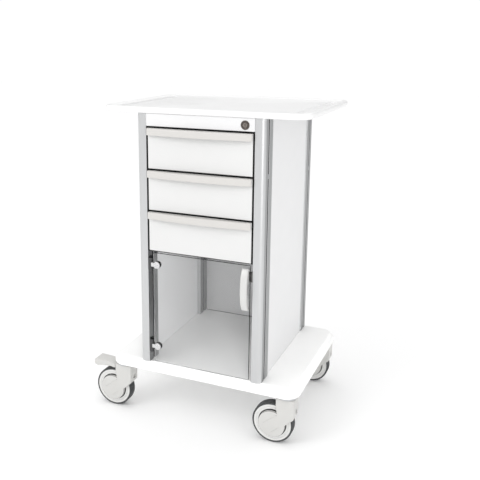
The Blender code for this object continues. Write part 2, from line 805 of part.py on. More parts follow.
def make_caster(cart, label, sx, sy, braked):
    """One caster: its mount on the base, a fork that swivels, a wheel with a tyre."""
    swivel = empty(f"caster_swivel_{label}", (sx * CASTER_X, sy * CASTER_Y, 0), cart)
    mount_top = CASTER_H - GAP
    mount_low = mount_top - MOUNT_T
    profile = [
        (KINGPIN_R, mount_low - KINGPIN_L), (KINGPIN_R, mount_low),
        (MOUNT_R, mount_low), (MOUNT_R, mount_top),
    ]
    mount = disc_mesh(profile, ROUND_SEGMENTS)
    add_mesh(f"caster_mount_{label}", mount, zinc(), cart, swivel.location)

    body = at_wheel(prism_mesh(fork_outline(), -FORK_OUT, FORK_OUT, profile_xz()))
    fork = add_mesh(f"caster_fork_{label}", body, caster_grey(), swivel)
    soften(fork, 0.002, 2, 50)
    pocket_r = WHEEL_R + WHEEL_TOP_CLEAR
    pocket = disc_mesh([(pocket_r, -FORK_IN), (pocket_r, FORK_IN)], WHEEL_SEGMENTS, along_y())
    cut(fork, at_wheel(pocket), "wheel_pocket")
    bore = KINGPIN_R + SWIVEL_CLEAR
    well = disc_mesh([(bore, WHEEL_R), (bore, CASTER_H)], ROUND_SEGMENTS)
    cut(fork, well, "kingpin_bore")
    sink = FORK_ARM_T / 2
    axle = disc_mesh([(AXLE_R, -FORK_IN - sink), (AXLE_R, FORK_IN + sink)], ROUND_SEGMENTS, along_y())
    join(fork, at_wheel(axle), "axle")

    hub = empty(f"wheel_axis_{label}", (-TRAIL, 0, WHEEL_R), swivel)
    rim = turned_mesh(wheel_profile(), WHEEL_SEGMENTS, along_y())
    add_mesh(f"caster_wheel_{label}", rim, rim_grey(), hub)
    tyre = turned_mesh(tyre_profile(), WHEEL_SEGMENTS, along_y())
    add_mesh(f"caster_tyre_{label}", tyre, tyre_grey(), hub)
    if braked:
        make_pedal(swivel, fork, label)


def make_pedal(swivel, fork, label):
    """A pedal whose root turns on a pin in a notch of the fork's head."""
    top = HEAD_TOP - WHEEL_R
    half = PEDAL_ROOT_W / 2 + PEDAL_SIDE_CLEAR
    reach = PEDAL_ROOT_R + PEDAL_SIDE_CLEAR
    notch = box_mesh(
        (HEAD_LEFT - 0.010, -half, PEDAL_Z - reach - 0.012), (PEDAL_X + reach, half, top + 0.010)
    )
    cut(fork, at_wheel(notch), "pedal_notch")
    sink = half + 0.004
    pin = disc_mesh([(PEDAL_PIN_R, -sink), (PEDAL_PIN_R, sink)], ROUND_SEGMENTS, along_y())
    bmesh.ops.translate(pin, vec=(PEDAL_X, 0, PEDAL_Z), verts=pin.verts)
    join(fork, at_wheel(pin), "pedal_pin")

    pivot = empty(f"brake_pivot_{label}", (PEDAL_X - TRAIL, 0, WHEEL_R + PEDAL_Z), swivel)
    tread = prism_mesh(pedal_outline(), -PEDAL_W / 2, PEDAL_W / 2, profile_xz())
    pedal = add_mesh(f"brake_pedal_{label}", tread, caster_grey(), pivot)
    edge = HEAD_LEFT - PEDAL_X - PEDAL_SHOULDER_CLEAR
    for sign, side in ((-1, "front_relief"), (1, "rear_relief")):
        ys = sorted((sign * PEDAL_ROOT_W / 2, sign * PEDAL_W))
        relief = box_mesh((edge, ys[0], -0.03), (0.03, ys[1], 0.03))
        cut(pedal, relief, side)
    bore = PEDAL_PIN_R + PEDAL_PIN_CLEAR
    cut(pedal, disc_mesh([(bore, -PEDAL_W), (bore, PEDAL_W)], ROUND_SEGMENTS, along_y()), "pin_bore")
    soften(pedal, 0.0015, 2, 40)


def main():
    clear_scene()
    cart = empty("cart", (CART_X, CART_Y, 0))
    make_base(cart)
    make_worktop(cart)
    make_posts(cart)
    make_panels(cart)
    make_header(cart)
    make_shelf(cart)
    make_lock(cart)
    for index in range(DRAWER_COUNT):
        make_drawer(cart, index)
    make_door(cart)
    make_catch(cart)
    make_caster(cart, "front_left", -1, -1, True)
    make_caster(cart, "front_right", 1, -1, False)
    make_caster(cart, "rear_left", -1, 1, False)
    make_caster(cart, "rear_right", 1, 1, True)


main()
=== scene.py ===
"""Looks of an instrument cart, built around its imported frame.

Every piece is made in metres in the frame's own axes: +Z up, the drawers and the door
facing -Y. Places come from the frame's nodes, and each sub-assembly is one class.
"""

import logging
import math
from dataclasses import dataclass
from enum import Enum
from typing import Callable, Iterable, Optional, Sequence

import bmesh
import bpy
from mathutils import Matrix, Vector


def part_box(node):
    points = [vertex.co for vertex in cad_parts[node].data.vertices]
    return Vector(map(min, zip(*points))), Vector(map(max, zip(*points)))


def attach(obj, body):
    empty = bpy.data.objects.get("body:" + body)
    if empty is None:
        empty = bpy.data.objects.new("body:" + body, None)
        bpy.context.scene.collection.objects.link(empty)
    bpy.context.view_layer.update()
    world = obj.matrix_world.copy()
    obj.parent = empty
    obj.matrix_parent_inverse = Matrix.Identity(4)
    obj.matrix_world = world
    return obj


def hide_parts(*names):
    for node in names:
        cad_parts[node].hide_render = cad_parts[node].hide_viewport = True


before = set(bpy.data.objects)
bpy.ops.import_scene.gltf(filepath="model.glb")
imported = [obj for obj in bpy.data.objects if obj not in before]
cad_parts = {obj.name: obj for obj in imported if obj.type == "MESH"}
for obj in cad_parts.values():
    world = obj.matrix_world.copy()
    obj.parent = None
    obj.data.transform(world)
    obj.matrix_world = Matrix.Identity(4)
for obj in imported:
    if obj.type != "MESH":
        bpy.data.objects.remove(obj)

log = logging.getLogger("instrument_cart")

Colour = tuple[float, float, float]
Point2 = tuple[float, float]
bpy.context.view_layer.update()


# ---------------------------------------------------------------- shader tools
class Graph:
    """A thin hand on a node tree, so that a material reads as a list of steps."""

    def __init__(self, tree: bpy.types.NodeTree) -> None:
        """Starts from an empty tree.

        Args:
            tree: The node tree of a material or of a node group.
        """
        self.tree = tree
        tree.nodes.clear()

    def add(self, kind: str, **settings: object) -> bpy.types.Node:
        """Adds a node.

        Args:
            kind: The node's type without its "ShaderNode" prefix.
            **settings: Properties of the node to set.

        Returns:
            The new node.
        """
        node = self.tree.nodes.new("ShaderNode" + kind)
        for name, value in settings.items():
            setattr(node, name, value)
        return node

    def put(self, node: bpy.types.Node, socket: str | int, value: object) -> None:
        """Sets a socket, from another socket or from a plain value.

        Args:
            node: The node that takes the value.
            socket: The input's name or number.
            value: An output socket to link, or a value to write.
        """
        target = node.inputs[socket]
        if isinstance(value, bpy.types.NodeSocket):
            self.tree.links.new(value, target)
        else:
            target.default_value = value

    def math(self, operation: str, a: object, b: object = None) -> bpy.types.NodeSocket:
        """Adds a Math node and returns its output.

        Args:
            operation: The Math node's operation.
            a: The first socket or number.
            b: The second socket or number, if the operation takes one.

        Returns:
            The node's value output.
        """
        node = self.add("Math", operation=operation)
        self.put(node, 0, a)
        if b is not None:
            self.put(node, 1, b)
        return node.outputs[0]

    def remap(
        self, value: object, low: object, high: object, to_low: object, to_high: object
    ) -> bpy.types.NodeSocket:
        """Maps a value from one range to another, clamped.

        Args:
            value: The socket to map.
            low: Where the range starts.
            high: Where the range ends.
            to_low: What the start becomes.
            to_high: What the end becomes.

        Returns:
            The mapped value.
        """
        node = self.add("MapRange")
        for socket, item in zip(range(5), (value, low, high, to_low, to_high)):
            self.put(node, socket, item)
        return node.outputs[0]


class Effect(Enum):
    """The shader groups that more than one finish uses."""

    GRAIN = "moulded_grain"
    STREAKS = "drawn_streaks"
    EDGE = "soft_edge"
    DUST = "settled_dust"


class EffectLibrary:
    """Builds each shader group once and puts copies of it into materials."""

    @staticmethod
    def _start(
        name: str, inputs: Sequence[tuple[str, str, float]], outputs: Sequence[tuple[str, str]]
    ) -> tuple[Graph, bpy.types.Node, bpy.types.Node]:
        """Makes an empty group with its sockets.

        Args:
            name: The group's name.
            inputs: Name, socket type and default value of each input.
            outputs: Name and socket type of each output.

        Returns:
            The graph, its input node and its output node.
        """
        tree = bpy.data.node_groups.new(name, "ShaderNodeTree")
        graph = Graph(tree)
        for label, kind, value in inputs:
            socket = tree.interface.new_socket(name=label, in_out="INPUT", socket_type=kind)
            if kind == "NodeSocketFloat":
                socket.default_value = value
        for label, kind in outputs:
            tree.interface.new_socket(name=label, in_out="OUTPUT", socket_type=kind)
        return graph, tree.nodes.new("NodeGroupInput"), tree.nodes.new("NodeGroupOutput")

    @classmethod
    def grain(cls) -> bpy.types.NodeTree:
        """Fine moulded texture: a height, a slow drift of tone and a change of gloss."""
        graph, source, result = cls._start(
            Effect.GRAIN.value,
            [("Scale", "NodeSocketFloat", 900.0), ("Drift", "NodeSocketFloat", 0.02),
             ("Gloss Change", "NodeSocketFloat", 0.04)],
            [("Height", "NodeSocketFloat"), ("Tone", "NodeSocketFloat"), ("Gloss", "NodeSocketFloat")],
        )
        place = graph.add("TexCoord").outputs["Object"]
        fine = graph.add("TexNoise")
        graph.put(fine, "Vector", place)
        graph.put(fine, "Scale", source.outputs["Scale"])
        graph.put(fine, "Detail", 3.0)
        cells = graph.add("TexVoronoi", feature="F1")
        graph.put(cells, "Vector", place)
        graph.put(cells, "Scale", graph.math("MULTIPLY", source.outputs["Scale"], 0.7))
        height = graph.math("ADD", fine.outputs[0], graph.math("MULTIPLY", cells.outputs[0], 0.4))
        graph.put(result, "Height", height)
        slow = graph.add("TexNoise")
        graph.put(slow, "Vector", place)
        graph.put(slow, "Scale", 6.0)
        graph.put(slow, "Detail", 2.0)
        low = graph.math("SUBTRACT", 1.0, source.outputs["Drift"])
        graph.put(result, "Tone", graph.remap(slow.outputs[0], 0.3, 0.7, low, 1.0))
        smear = graph.add("TexNoise")
        graph.put(smear, "Vector", place)
        graph.put(smear, "Scale", 23.0)
        graph.put(smear, "Detail", 4.0)
        change = source.outputs["Gloss Change"]
        negative = graph.math("MULTIPLY", change, -1.0)
        graph.put(result, "Gloss", graph.remap(smear.outputs[0], 0.3, 0.7, negative, change))
        return graph.tree

    @classmethod
    def streaks(cls) -> bpy.types.NodeTree:
        """Long fine lines along one axis, as an extruded or brushed metal has."""
        graph, source, result = cls._start(
            Effect.STREAKS.value,
            [("Across", "NodeSocketVector", 0.0), ("Strength", "NodeSocketFloat", 0.05)],
            [("Height", "NodeSocketFloat"), ("Tone", "NodeSocketFloat"), ("Gloss", "NodeSocketFloat")],
        )
        place = graph.add("TexCoord").outputs["Object"]
        stretch = graph.add("VectorMath", operation="MULTIPLY")
        graph.put(stretch, 0, place)
        graph.put(stretch, 1, source.outputs["Across"])
        lines = graph.add("TexNoise")
        graph.put(lines, "Vector", stretch.outputs[0])
        graph.put(lines, "Scale", 1.0)
        graph.put(lines, "Detail", 4.0)
        graph.put(lines, "Roughness", 0.7)
        graph.put(result, "Height", lines.outputs[0])
        low = graph.math("SUBTRACT", 1.0, source.outputs["Strength"])
        graph.put(result, "Tone", graph.remap(lines.outputs[0], 0.3, 0.7, low, 1.0))
        graph.put(result, "Gloss", graph.remap(lines.outputs[0], 0.3, 0.7, -0.05, 0.05))
        return graph.tree

    @classmethod
    def edge(cls) -> bpy.types.NodeTree:
        """Rounds edges in the shading and gives a mask of where they are."""
        graph, source, result = cls._start(
            Effect.EDGE.value,
            [("Radius", "NodeSocketFloat", 0.0008)],
            [("Normal", "NodeSocketVector"), ("Mask", "NodeSocketFloat")],
        )
        bevel = graph.add("Bevel", samples=6)
        graph.put(bevel, "Radius", source.outputs["Radius"])
        true = graph.add("NewGeometry").outputs["Normal"]
        product = graph.add("VectorMath", operation="DOT_PRODUCT")
        graph.put(product, 0, bevel.outputs[0])
        graph.put(product, 1, true)
        graph.put(result, "Normal", bevel.outputs[0])
        graph.put(result, "Mask", graph.remap(product.outputs["Value"], 0.995, 0.8, 0.0, 1.0))
        return graph.tree

    @classmethod
    def dust(cls) -> bpy.types.NodeTree:
        """A thin patchy film on faces that look up."""
        graph, source, result = cls._start(
            Effect.DUST.value,
            [("Amount", "NodeSocketFloat", 0.1)],
            [("Mask", "NodeSocketFloat")],
        )
        up = graph.add("SeparateXYZ")
        graph.put(up, 0, graph.add("NewGeometry").outputs["Normal"])
        facing = graph.remap(up.outputs["Z"], 0.2, 1.0, 0.0, 1.0)
        patches = graph.add("TexNoise")
        graph.put(patches, "Vector", graph.add("TexCoord").outputs["Object"])
        graph.put(patches, "Scale", 55.0)
        graph.put(patches, "Detail", 5.0)
        cover = graph.remap(patches.outputs[0], 0.4, 0.75, 0.0, 1.0)
        mask = graph.math("MULTIPLY", graph.math("MULTIPLY", facing, cover), source.outputs["Amount"])
        graph.put(result, "Mask", mask)
        return graph.tree

    @classmethod
    def place(cls, graph: Graph, effect: Effect, **values: object) -> bpy.types.Node:
        """Puts an effect into a material.

        Args:
            graph: The material's graph.
            effect: Which effect to place.
            **values: Input values, spaces in names written as underscores.

        Returns:
            The group node.
        """
        makers: dict[Effect, Callable[[], bpy.types.NodeTree]] = {
            Effect.GRAIN: cls.grain, Effect.STREAKS: cls.streaks,
            Effect.EDGE: cls.edge, Effect.DUST: cls.dust,
        }
        tree = bpy.data.node_groups.get(effect.value) or makers[effect]()
        node = graph.add("Group", node_tree=tree)
        for label, value in values.items():
            graph.put(node, label.replace("_", " ").title(), value)
        return node


# ---------------------------------------------------------------- finishes
# the colour sockets of a Mix node, by number, because their names repeat
MIX_FACTOR, MIX_FIRST, MIX_SECOND, MIX_RESULT = 0, 6, 7, 2


@dataclass(frozen=True)
class Finish:
    """What every finish has: a name and the record's slot that it stands for."""

    name: str
    slot: str

    def start(self) -> tuple[bpy.types.Material, Graph, bpy.types.Node]:
        """Makes the material with its shader and output.

        Returns:
            The material, its graph and its Principled shader.
        """
        material = bpy.data.materials.new(self.name)
        material.use_nodes = True
        graph = Graph(material.node_tree)
        shader = graph.add("BsdfPrincipled")
        graph.put(graph.add("OutputMaterial"), "Surface", shader.outputs[0])
        return material, graph, shader

    def build(self) -> bpy.types.Material:
        """Makes the material; each finish says how."""
        raise NotImplementedError

    def material(self) -> bpy.types.Material:
        """The finish's material, made on first use."""
        return bpy.data.materials.get(self.name) or self.build()

    @staticmethod
    def relief(
        graph: Graph, shader: bpy.types.Node, height: bpy.types.NodeSocket, edge: bpy.types.Node,
        strength: float, depth: float,
    ) -> None:
        """Lays a fine relief over the rounded edges' normal.

        Args:
            graph: The material's graph.
            shader: The shader that takes the normal.
            height: The relief's height.
            edge: The placed edge effect.
            strength: How much of the relief shows.
            depth: The relief's depth in metres.
        """
        bump = graph.add("Bump")
        graph.put(bump, "Strength", strength)
        graph.put(bump, "Distance", depth)
        graph.put(bump, "Height", height)
        graph.put(bump, "Normal", edge.outputs["Normal"])
        graph.put(shader, "Normal", bump.outputs[0])

    @staticmethod
    def dusted(
        graph: Graph, shader: bpy.types.Node, clean: bpy.types.NodeSocket, dust: bpy.types.Node,
        colour: Colour,
    ) -> None:
        """Lays a dust colour over a clean colour.

        Args:
            graph: The material's graph.
            shader: The shader that takes the colour.
            clean: The clean colour.
            dust: The placed dust effect.
            colour: The dust's colour.
        """
        mix = graph.add("Mix", data_type="RGBA")
        graph.put(mix, MIX_FACTOR, dust.outputs["Mask"])
        graph.put(mix, MIX_FIRST, clean)
        graph.put(mix, MIX_SECOND, (*colour, 1.0))
        graph.put(shader, "Base Color", mix.outputs[MIX_RESULT])


def tinted(graph: Graph, colour: Colour, tone: bpy.types.NodeSocket) -> bpy.types.NodeSocket:
    """Scales a colour by a tone that changes over the surface.

    Args:
        graph: The material's graph.
        colour: The colour at full tone.
        tone: The tone, about 1.

    Returns:
        The colour socket.
    """
    scale = graph.add("VectorMath", operation="SCALE")
    graph.put(scale, 0, colour)
    graph.put(scale, "Scale", tone)
    return scale.outputs[0]


@dataclass(frozen=True)
class Moulding(Finish):
    """Moulded or laminated plastic with a fine grain."""

    colour: Colour = (0.8, 0.8, 0.8)
    roughness: float = 0.4
    grain_scale: float = 1400.0
    grain_depth: float = 0.00002
    drift: float = 0.02
    gloss_change: float = 0.05
    edge_radius: float = 0.0008
    painted_edge_highlight: float = 0.03
    dust: float = 0.05
    dust_colour: Colour = (0.55, 0.54, 0.52)
    coat: float = 0.0
    specular: float = 0.5
    grain_show: float = 0.6
    dust_roughness: float = 0.5
    coat_roughness: float = 0.25

    def build(self) -> bpy.types.Material:
        """Grain, slow drift of tone, a painted highlight along the edges and a trace of dust."""
        material, graph, shader = self.start()
        grain = EffectLibrary.place(
            graph, Effect.GRAIN, scale=self.grain_scale, drift=self.drift,
            gloss_change=self.gloss_change,
        )
        edge = EffectLibrary.place(graph, Effect.EDGE, radius=self.edge_radius)
        dust = EffectLibrary.place(graph, Effect.DUST, amount=self.dust)
        # Edges made lighter in tone: a painted highlight.
        painted_highlight = graph.math("MULTIPLY", edge.outputs["Mask"], self.painted_edge_highlight)
        tone = graph.math("ADD", grain.outputs["Tone"], painted_highlight)
        self.dusted(graph, shader, tinted(graph, self.colour, tone), dust, self.dust_colour)
        rough = graph.math("ADD", graph.math("ADD", grain.outputs["Gloss"], self.roughness),
                           graph.math("MULTIPLY", dust.outputs["Mask"], self.dust_roughness))
        graph.put(shader, "Roughness", rough)
        self.relief(graph, shader, grain.outputs["Height"], edge, self.grain_show, self.grain_depth)
        shader.inputs["Coat Weight"].default_value = self.coat
        shader.inputs["Coat Roughness"].default_value = self.coat_roughness
        shader.inputs["Specular IOR Level"].default_value = self.specular
        return material


@dataclass(frozen=True)
class DrawnMetal(Finish):
    """Metal with lines along its length: extrusions, brushed and plated sheet."""

    colour: Colour = (0.6, 0.61, 0.62)
    roughness: float = 0.35
    metallic: float = 1.0
    across: tuple[float, float, float] = (900.0, 900.0, 6.0)
    strength: float = 0.06
    depth: float = 0.00003
    edge_radius: float = 0.0006
    painted_edge_highlight: float = 0.15
    lines_show: float = 0.5

    def build(self) -> bpy.types.Material:
        """Lines in height, tone and gloss, and a painted highlight along the edges."""
        material, graph, shader = self.start()
        lines = EffectLibrary.place(
            graph, Effect.STREAKS, across=self.across, strength=self.strength
        )
        edge = EffectLibrary.place(graph, Effect.EDGE, radius=self.edge_radius)
        # Edges made lighter in tone: a painted highlight.
        painted_highlight = graph.math("MULTIPLY", edge.outputs["Mask"], self.painted_edge_highlight)
        tone = graph.math("ADD", lines.outputs["Tone"], painted_highlight)
        graph.put(shader, "Base Color", tinted(graph, self.colour, tone))
        graph.put(shader, "Roughness", graph.math("ADD", lines.outputs["Gloss"], self.roughness))
        self.relief(graph, shader, lines.outputs["Height"], edge, self.lines_show, self.depth)
        shader.inputs["Metallic"].default_value = self.metallic
        return material


@dataclass(frozen=True)
class Tread(Finish):
    """Dark non-marking rubber with a worn, slightly dusty running face."""

    colour: Colour = (0.055, 0.058, 0.06)
    roughness: float = 0.7
    dust_colour: Colour = (0.25, 0.245, 0.235)
    dust: float = 0.25
    grain_scale: float = 1800.0
    drift: float = 0.2
    gloss_change: float = 0.08
    edge_radius: float = 0.001
    painted_edge_highlight: float = 0.25
    grain_show: float = 0.7
    grain_depth: float = 0.00005

    def build(self) -> bpy.types.Material:
        """Fine grain, scuffs, dust and a painted highlight along the edges of a dark rubber."""
        material, graph, shader = self.start()
        grain = EffectLibrary.place(
            graph, Effect.GRAIN, scale=self.grain_scale, drift=self.drift,
            gloss_change=self.gloss_change,
        )
        edge = EffectLibrary.place(graph, Effect.EDGE, radius=self.edge_radius)
        dust = EffectLibrary.place(graph, Effect.DUST, amount=self.dust)
        # Edges made lighter in tone: a painted highlight.
        painted_highlight = graph.math("MULTIPLY", edge.outputs["Mask"], self.painted_edge_highlight)
        tone = graph.math("ADD", grain.outputs["Tone"], painted_highlight)
        self.dusted(graph, shader, tinted(graph, self.colour, tone), dust, self.dust_colour)
        graph.put(shader, "Roughness", graph.math("ADD", grain.outputs["Gloss"], self.roughness))
        self.relief(graph, shader, grain.outputs["Height"], edge, self.grain_show, self.grain_depth)
        return material


@dataclass(frozen=True)
class ClearSheet(Finish):
    """Clear polished sheet that lets light through to what is behind it."""

    colour: Colour = (0.975, 0.98, 0.98)
    passing: Colour = (0.98, 0.98, 0.98)
    roughness: float = 0.02
    refraction: float = 1.49

    def build(self) -> bpy.types.Material:
        """Glass to the eye, a plain tint to the light that passes."""
        material = bpy.data.materials.new(self.name)
        material.use_nodes = True
        graph = Graph(material.node_tree)
        shader = graph.add("BsdfPrincipled")
        shader.inputs["Transmission Weight"].default_value = 1.0
        shader.inputs["IOR"].default_value = self.refraction
        smear = EffectLibrary.place(graph, Effect.GRAIN, scale=90.0, drift=0.015, gloss_change=0.015)
        graph.put(shader, "Base Color", tinted(graph, self.colour, smear.outputs["Tone"]))
        graph.put(shader, "Roughness", graph.math("ADD", smear.outputs["Gloss"], self.roughness))
        clear = graph.add("BsdfTransparent")
        clear.inputs["Color"].default_value = (*self.passing, 1.0)
        blend = graph.add("MixShader")
        rays = graph.add("LightPath")
        passes = graph.math("MAXIMUM", rays.outputs["Is Shadow Ray"], rays.outputs["Is Diffuse Ray"])
        graph.put(blend, 0, passes)
        graph.put(blend, 1, shader.outputs[0])
        graph.put(blend, 2, clear.outputs[0])
        graph.put(graph.add("OutputMaterial"), "Surface", blend.outputs[0])
        return material


# The cart's whites differ by how the light falls on them: the worktop and base take a lighter white,
# painted light on their upward faces, and the drawer fronts a darker white, painted shade on their
# well-lit faces.
WORKTOP_PAINTED_LIGHT_WHITE = Moulding("worktop_moulding", "moulded_white", (0.86, 0.86, 0.86), 0.40, 1100.0, 0.00003,
                         dust=0.02)
BASE_PAINTED_LIGHT_WHITE = Moulding("base_moulding", "moulded_white", (0.84, 0.84, 0.835), 0.42, 1100.0, 0.00003,
                      dust=0.02)
PANEL_WHITE = Moulding("panel_laminate", "panel_white", (0.76, 0.76, 0.765), 0.42, 700.0, 0.00002)
FRONT_PAINTED_SHADE_WHITE = Moulding("front_laminate", "front_white", (0.70, 0.70, 0.695), 0.34, 700.0, 0.000015,
                       edge_radius=0.0014, painted_edge_highlight=0.25, dust=0.0)
TRAY_WHITE = Moulding("tray_moulding", "tray_white", (0.72, 0.72, 0.72), 0.45, 1000.0, 0.00003)
PULL_GREY = Moulding("pull_moulding", "pull_grey", (0.60, 0.585, 0.565), 0.42, 1300.0, 0.00003)
ANODISED = DrawnMetal("anodised_extrusion", "anodised", (0.60, 0.605, 0.61), 0.36, 0.85)
# A darker copy of the anodised metal for faces along X: painted shade on the posts' side faces.
ANODISED_PAINTED_SHADE = DrawnMetal("anodised_side_painted_shade", "anodised", (0.33, 0.335, 0.34), 0.36, 0.85)
# Near-black metal for the faces inside the T-slots: painted shade in the grooves.
GROOVE_PAINTED_SHADE = DrawnMetal("extrusion_groove_painted_shade", "anodised", (0.12, 0.12, 0.125), 0.5, 0.6, painted_edge_highlight=0.0)
LOCK_PLUG = DrawnMetal("lock_plug_metal", "polished_chrome", (0.25, 0.225, 0.205), 0.25, 1.0,
                       (300.0, 300.0, 300.0), 0.12, 0.000005)
LOCK_DARK = DrawnMetal("lock_bezel_metal", "polished_chrome", (0.11, 0.095, 0.085), 0.22, 1.0,
                       (40.0, 40.0, 40.0), 0.05, 0.000003)
ZINC = DrawnMetal("zinc_plate", "zinc_steel", (0.56, 0.57, 0.58), 0.3, 1.0, (60.0, 700.0, 700.0))
CHROME = DrawnMetal("bright_chrome", "polished_chrome", (0.66, 0.66, 0.665), 0.14, 1.0,
                    (40.0, 40.0, 40.0), 0.03, 0.000002)
# Near-black with little specular: painted shadow for the strips that fill the gaps round the drawers
# and under the panels and header rail; the hinge pin caps are really black.
BLACK_CAP_AND_PAINTED_SHADOW = Moulding("cap_black_and_painted_shadow", "black_plastic", (0.008, 0.008, 0.008), 0.7, 900.0, 0.00002,
                        painted_edge_highlight=0.1, dust=0.0, specular=0.12)
CATCH_DARK = Moulding("catch_moulding", "black_plastic", (0.15, 0.145, 0.14), 0.45, 1300.0, 0.00003,
                      painted_edge_highlight=0.3, dust=0.03)
# Dark grey for the wheels' webs and the fork discs' rounded edges: painted shade in the recess and in
# the gap between disc and wheel.
RECESS_PAINTED_SHADE = Moulding("wheel_recess_painted_shade", "rim_grey", (0.14, 0.14, 0.138), 0.6, 1300.0, 0.00003,
                       painted_edge_highlight=0.0, dust=0.0, specular=0.2)
# Dark paint of the hinge leaves, knuckles and clamp arms; on the chrome discs' rims it is painted
# shade.
HINGE_DARK = Moulding("hinge_paint_and_rim_shade", "hinge_dark", (0.05, 0.05, 0.052), 0.35, 1300.0, 0.00002,
                      painted_edge_highlight=0.4, dust=0.02)
HANDLE_WHITE = Moulding("handle_moulding", "handle_white", (0.62, 0.62, 0.612), 0.22, 1100.0, 0.00001,
                        coat=0.3)
CASTER_GREY = Moulding("caster_nylon", "caster_grey", (0.60, 0.595, 0.578), 0.42, 1300.0, 0.00003)
RIM_GREY = Moulding("rim_nylon", "rim_grey", (0.76, 0.76, 0.745), 0.38, 1300.0, 0.00003)
TYRE_GREY = Tread("tyre_rubber", "tyre_grey")
PANE_CLEAR = ClearSheet("door_sheet", "clear_pane")


# ---------------------------------------------------------------- mesh tools
def arc(cx: float, cy: float, radius: float, start: float, end: float, steps: int) -> list[Point2]:
    """Points on an arc.

    Args:
        cx: Centre, first coordinate.
        cy: Centre, second coordinate.
        radius: The arc's radius.
        start: Start angle in degrees.
        end: End angle in degrees.
        steps: How many chords.

    Returns:
        The points from start to end.
    """
    angles = [math.radians(start + (end - start) * i / steps) for i in range(steps + 1)]
    return [(cx + radius * math.cos(a), cy + radius * math.sin(a)) for a in angles]


def rounded_rect(width: float, depth: float, radius: float, steps: int = 16) -> list[Point2]:
    """A rectangle about the middle with round corners, anticlockwise."""
    x, y = width / 2 - radius, depth / 2 - radius
    points = arc(x, y, radius, 0, 90, steps) + arc(-x, y, radius, 90, 180, steps)
    return points + arc(-x, -y, radius, 180, 270, steps) + arc(x, -y, radius, 270, 360, steps)


def level_ring(
    centre: Vector, size: Vector, z: float, inset: float, radius: float, steps: int = 16
) -> list[Vector]:
    """A level rounded rectangle, drawn in from a box's sides.

    Args:
        centre: The box's middle.
        size: The box's size.
        z: The ring's height.
        inset: How far it lies inside the box's sides.
        radius: The radius of its corners.
        steps: How many chords to a corner.

    Returns:
        The ring's points.
    """
    outline = rounded_rect(size.x - 2 * inset, size.y - 2 * inset, radius, steps)
    return [Vector((centre.x + x, centre.y + y, z)) for x, y in outline]


def stadium(width: float, length: float, steps: int = 14) -> list[Point2]:
    """A slot outline along the second axis."""
    y = (length - width) / 2
    return arc(0, y, width / 2, 0, 180, steps) + arc(0, -y, width / 2, 180, 360, steps)


def rounding(radius: float, steps: int = 6) -> list[Point2]:
    """A quarter circle's (drop, inset) pairs, from the side it leaves to the face it meets."""
    turns = [math.radians(90 * i / steps) for i in range(steps + 1)]
    return [(radius * (1 - math.sin(a)), radius * (1 - math.cos(a))) for a in turns]


def smooth_loop(points: Sequence[Point2], steps: int = 5) -> list[Point2]:
    """Draws a smooth closed curve through points.

    Args:
        points: The points in order.
        steps: How many chords between two points.

    Returns:
        The curve's points.
    """
    count = len(points)
    curve = []
    for i in range(count):
        a, b, c, d = (points[(i + k) % count] for k in (-1, 0, 1, 2))
        for step in range(steps):
            t = step / steps
            curve.append(tuple(
                0.5 * (2 * b[k] + (c[k] - a[k]) * t + (2 * a[k] - 5 * b[k] + 4 * c[k] - d[k]) * t * t
                       + (3 * b[k] - a[k] - 3 * c[k] + d[k]) * t ** 3)
                for k in (0, 1)
            ))
    return curve


class Facing(Enum):
    """Which way a shape drawn in XY and extruded along Z is laid."""

    UP = Matrix.Identity(4)
    ALONG_Y = Matrix(((1, 0, 0, 0), (0, 0, 1, 0), (0, 1, 0, 0), (0, 0, 0, 1)))
    ALONG_X = Matrix(((0, 0, 1, 0), (1, 0, 0, 0), (0, 1, 0, 0), (0, 0, 0, 1)))


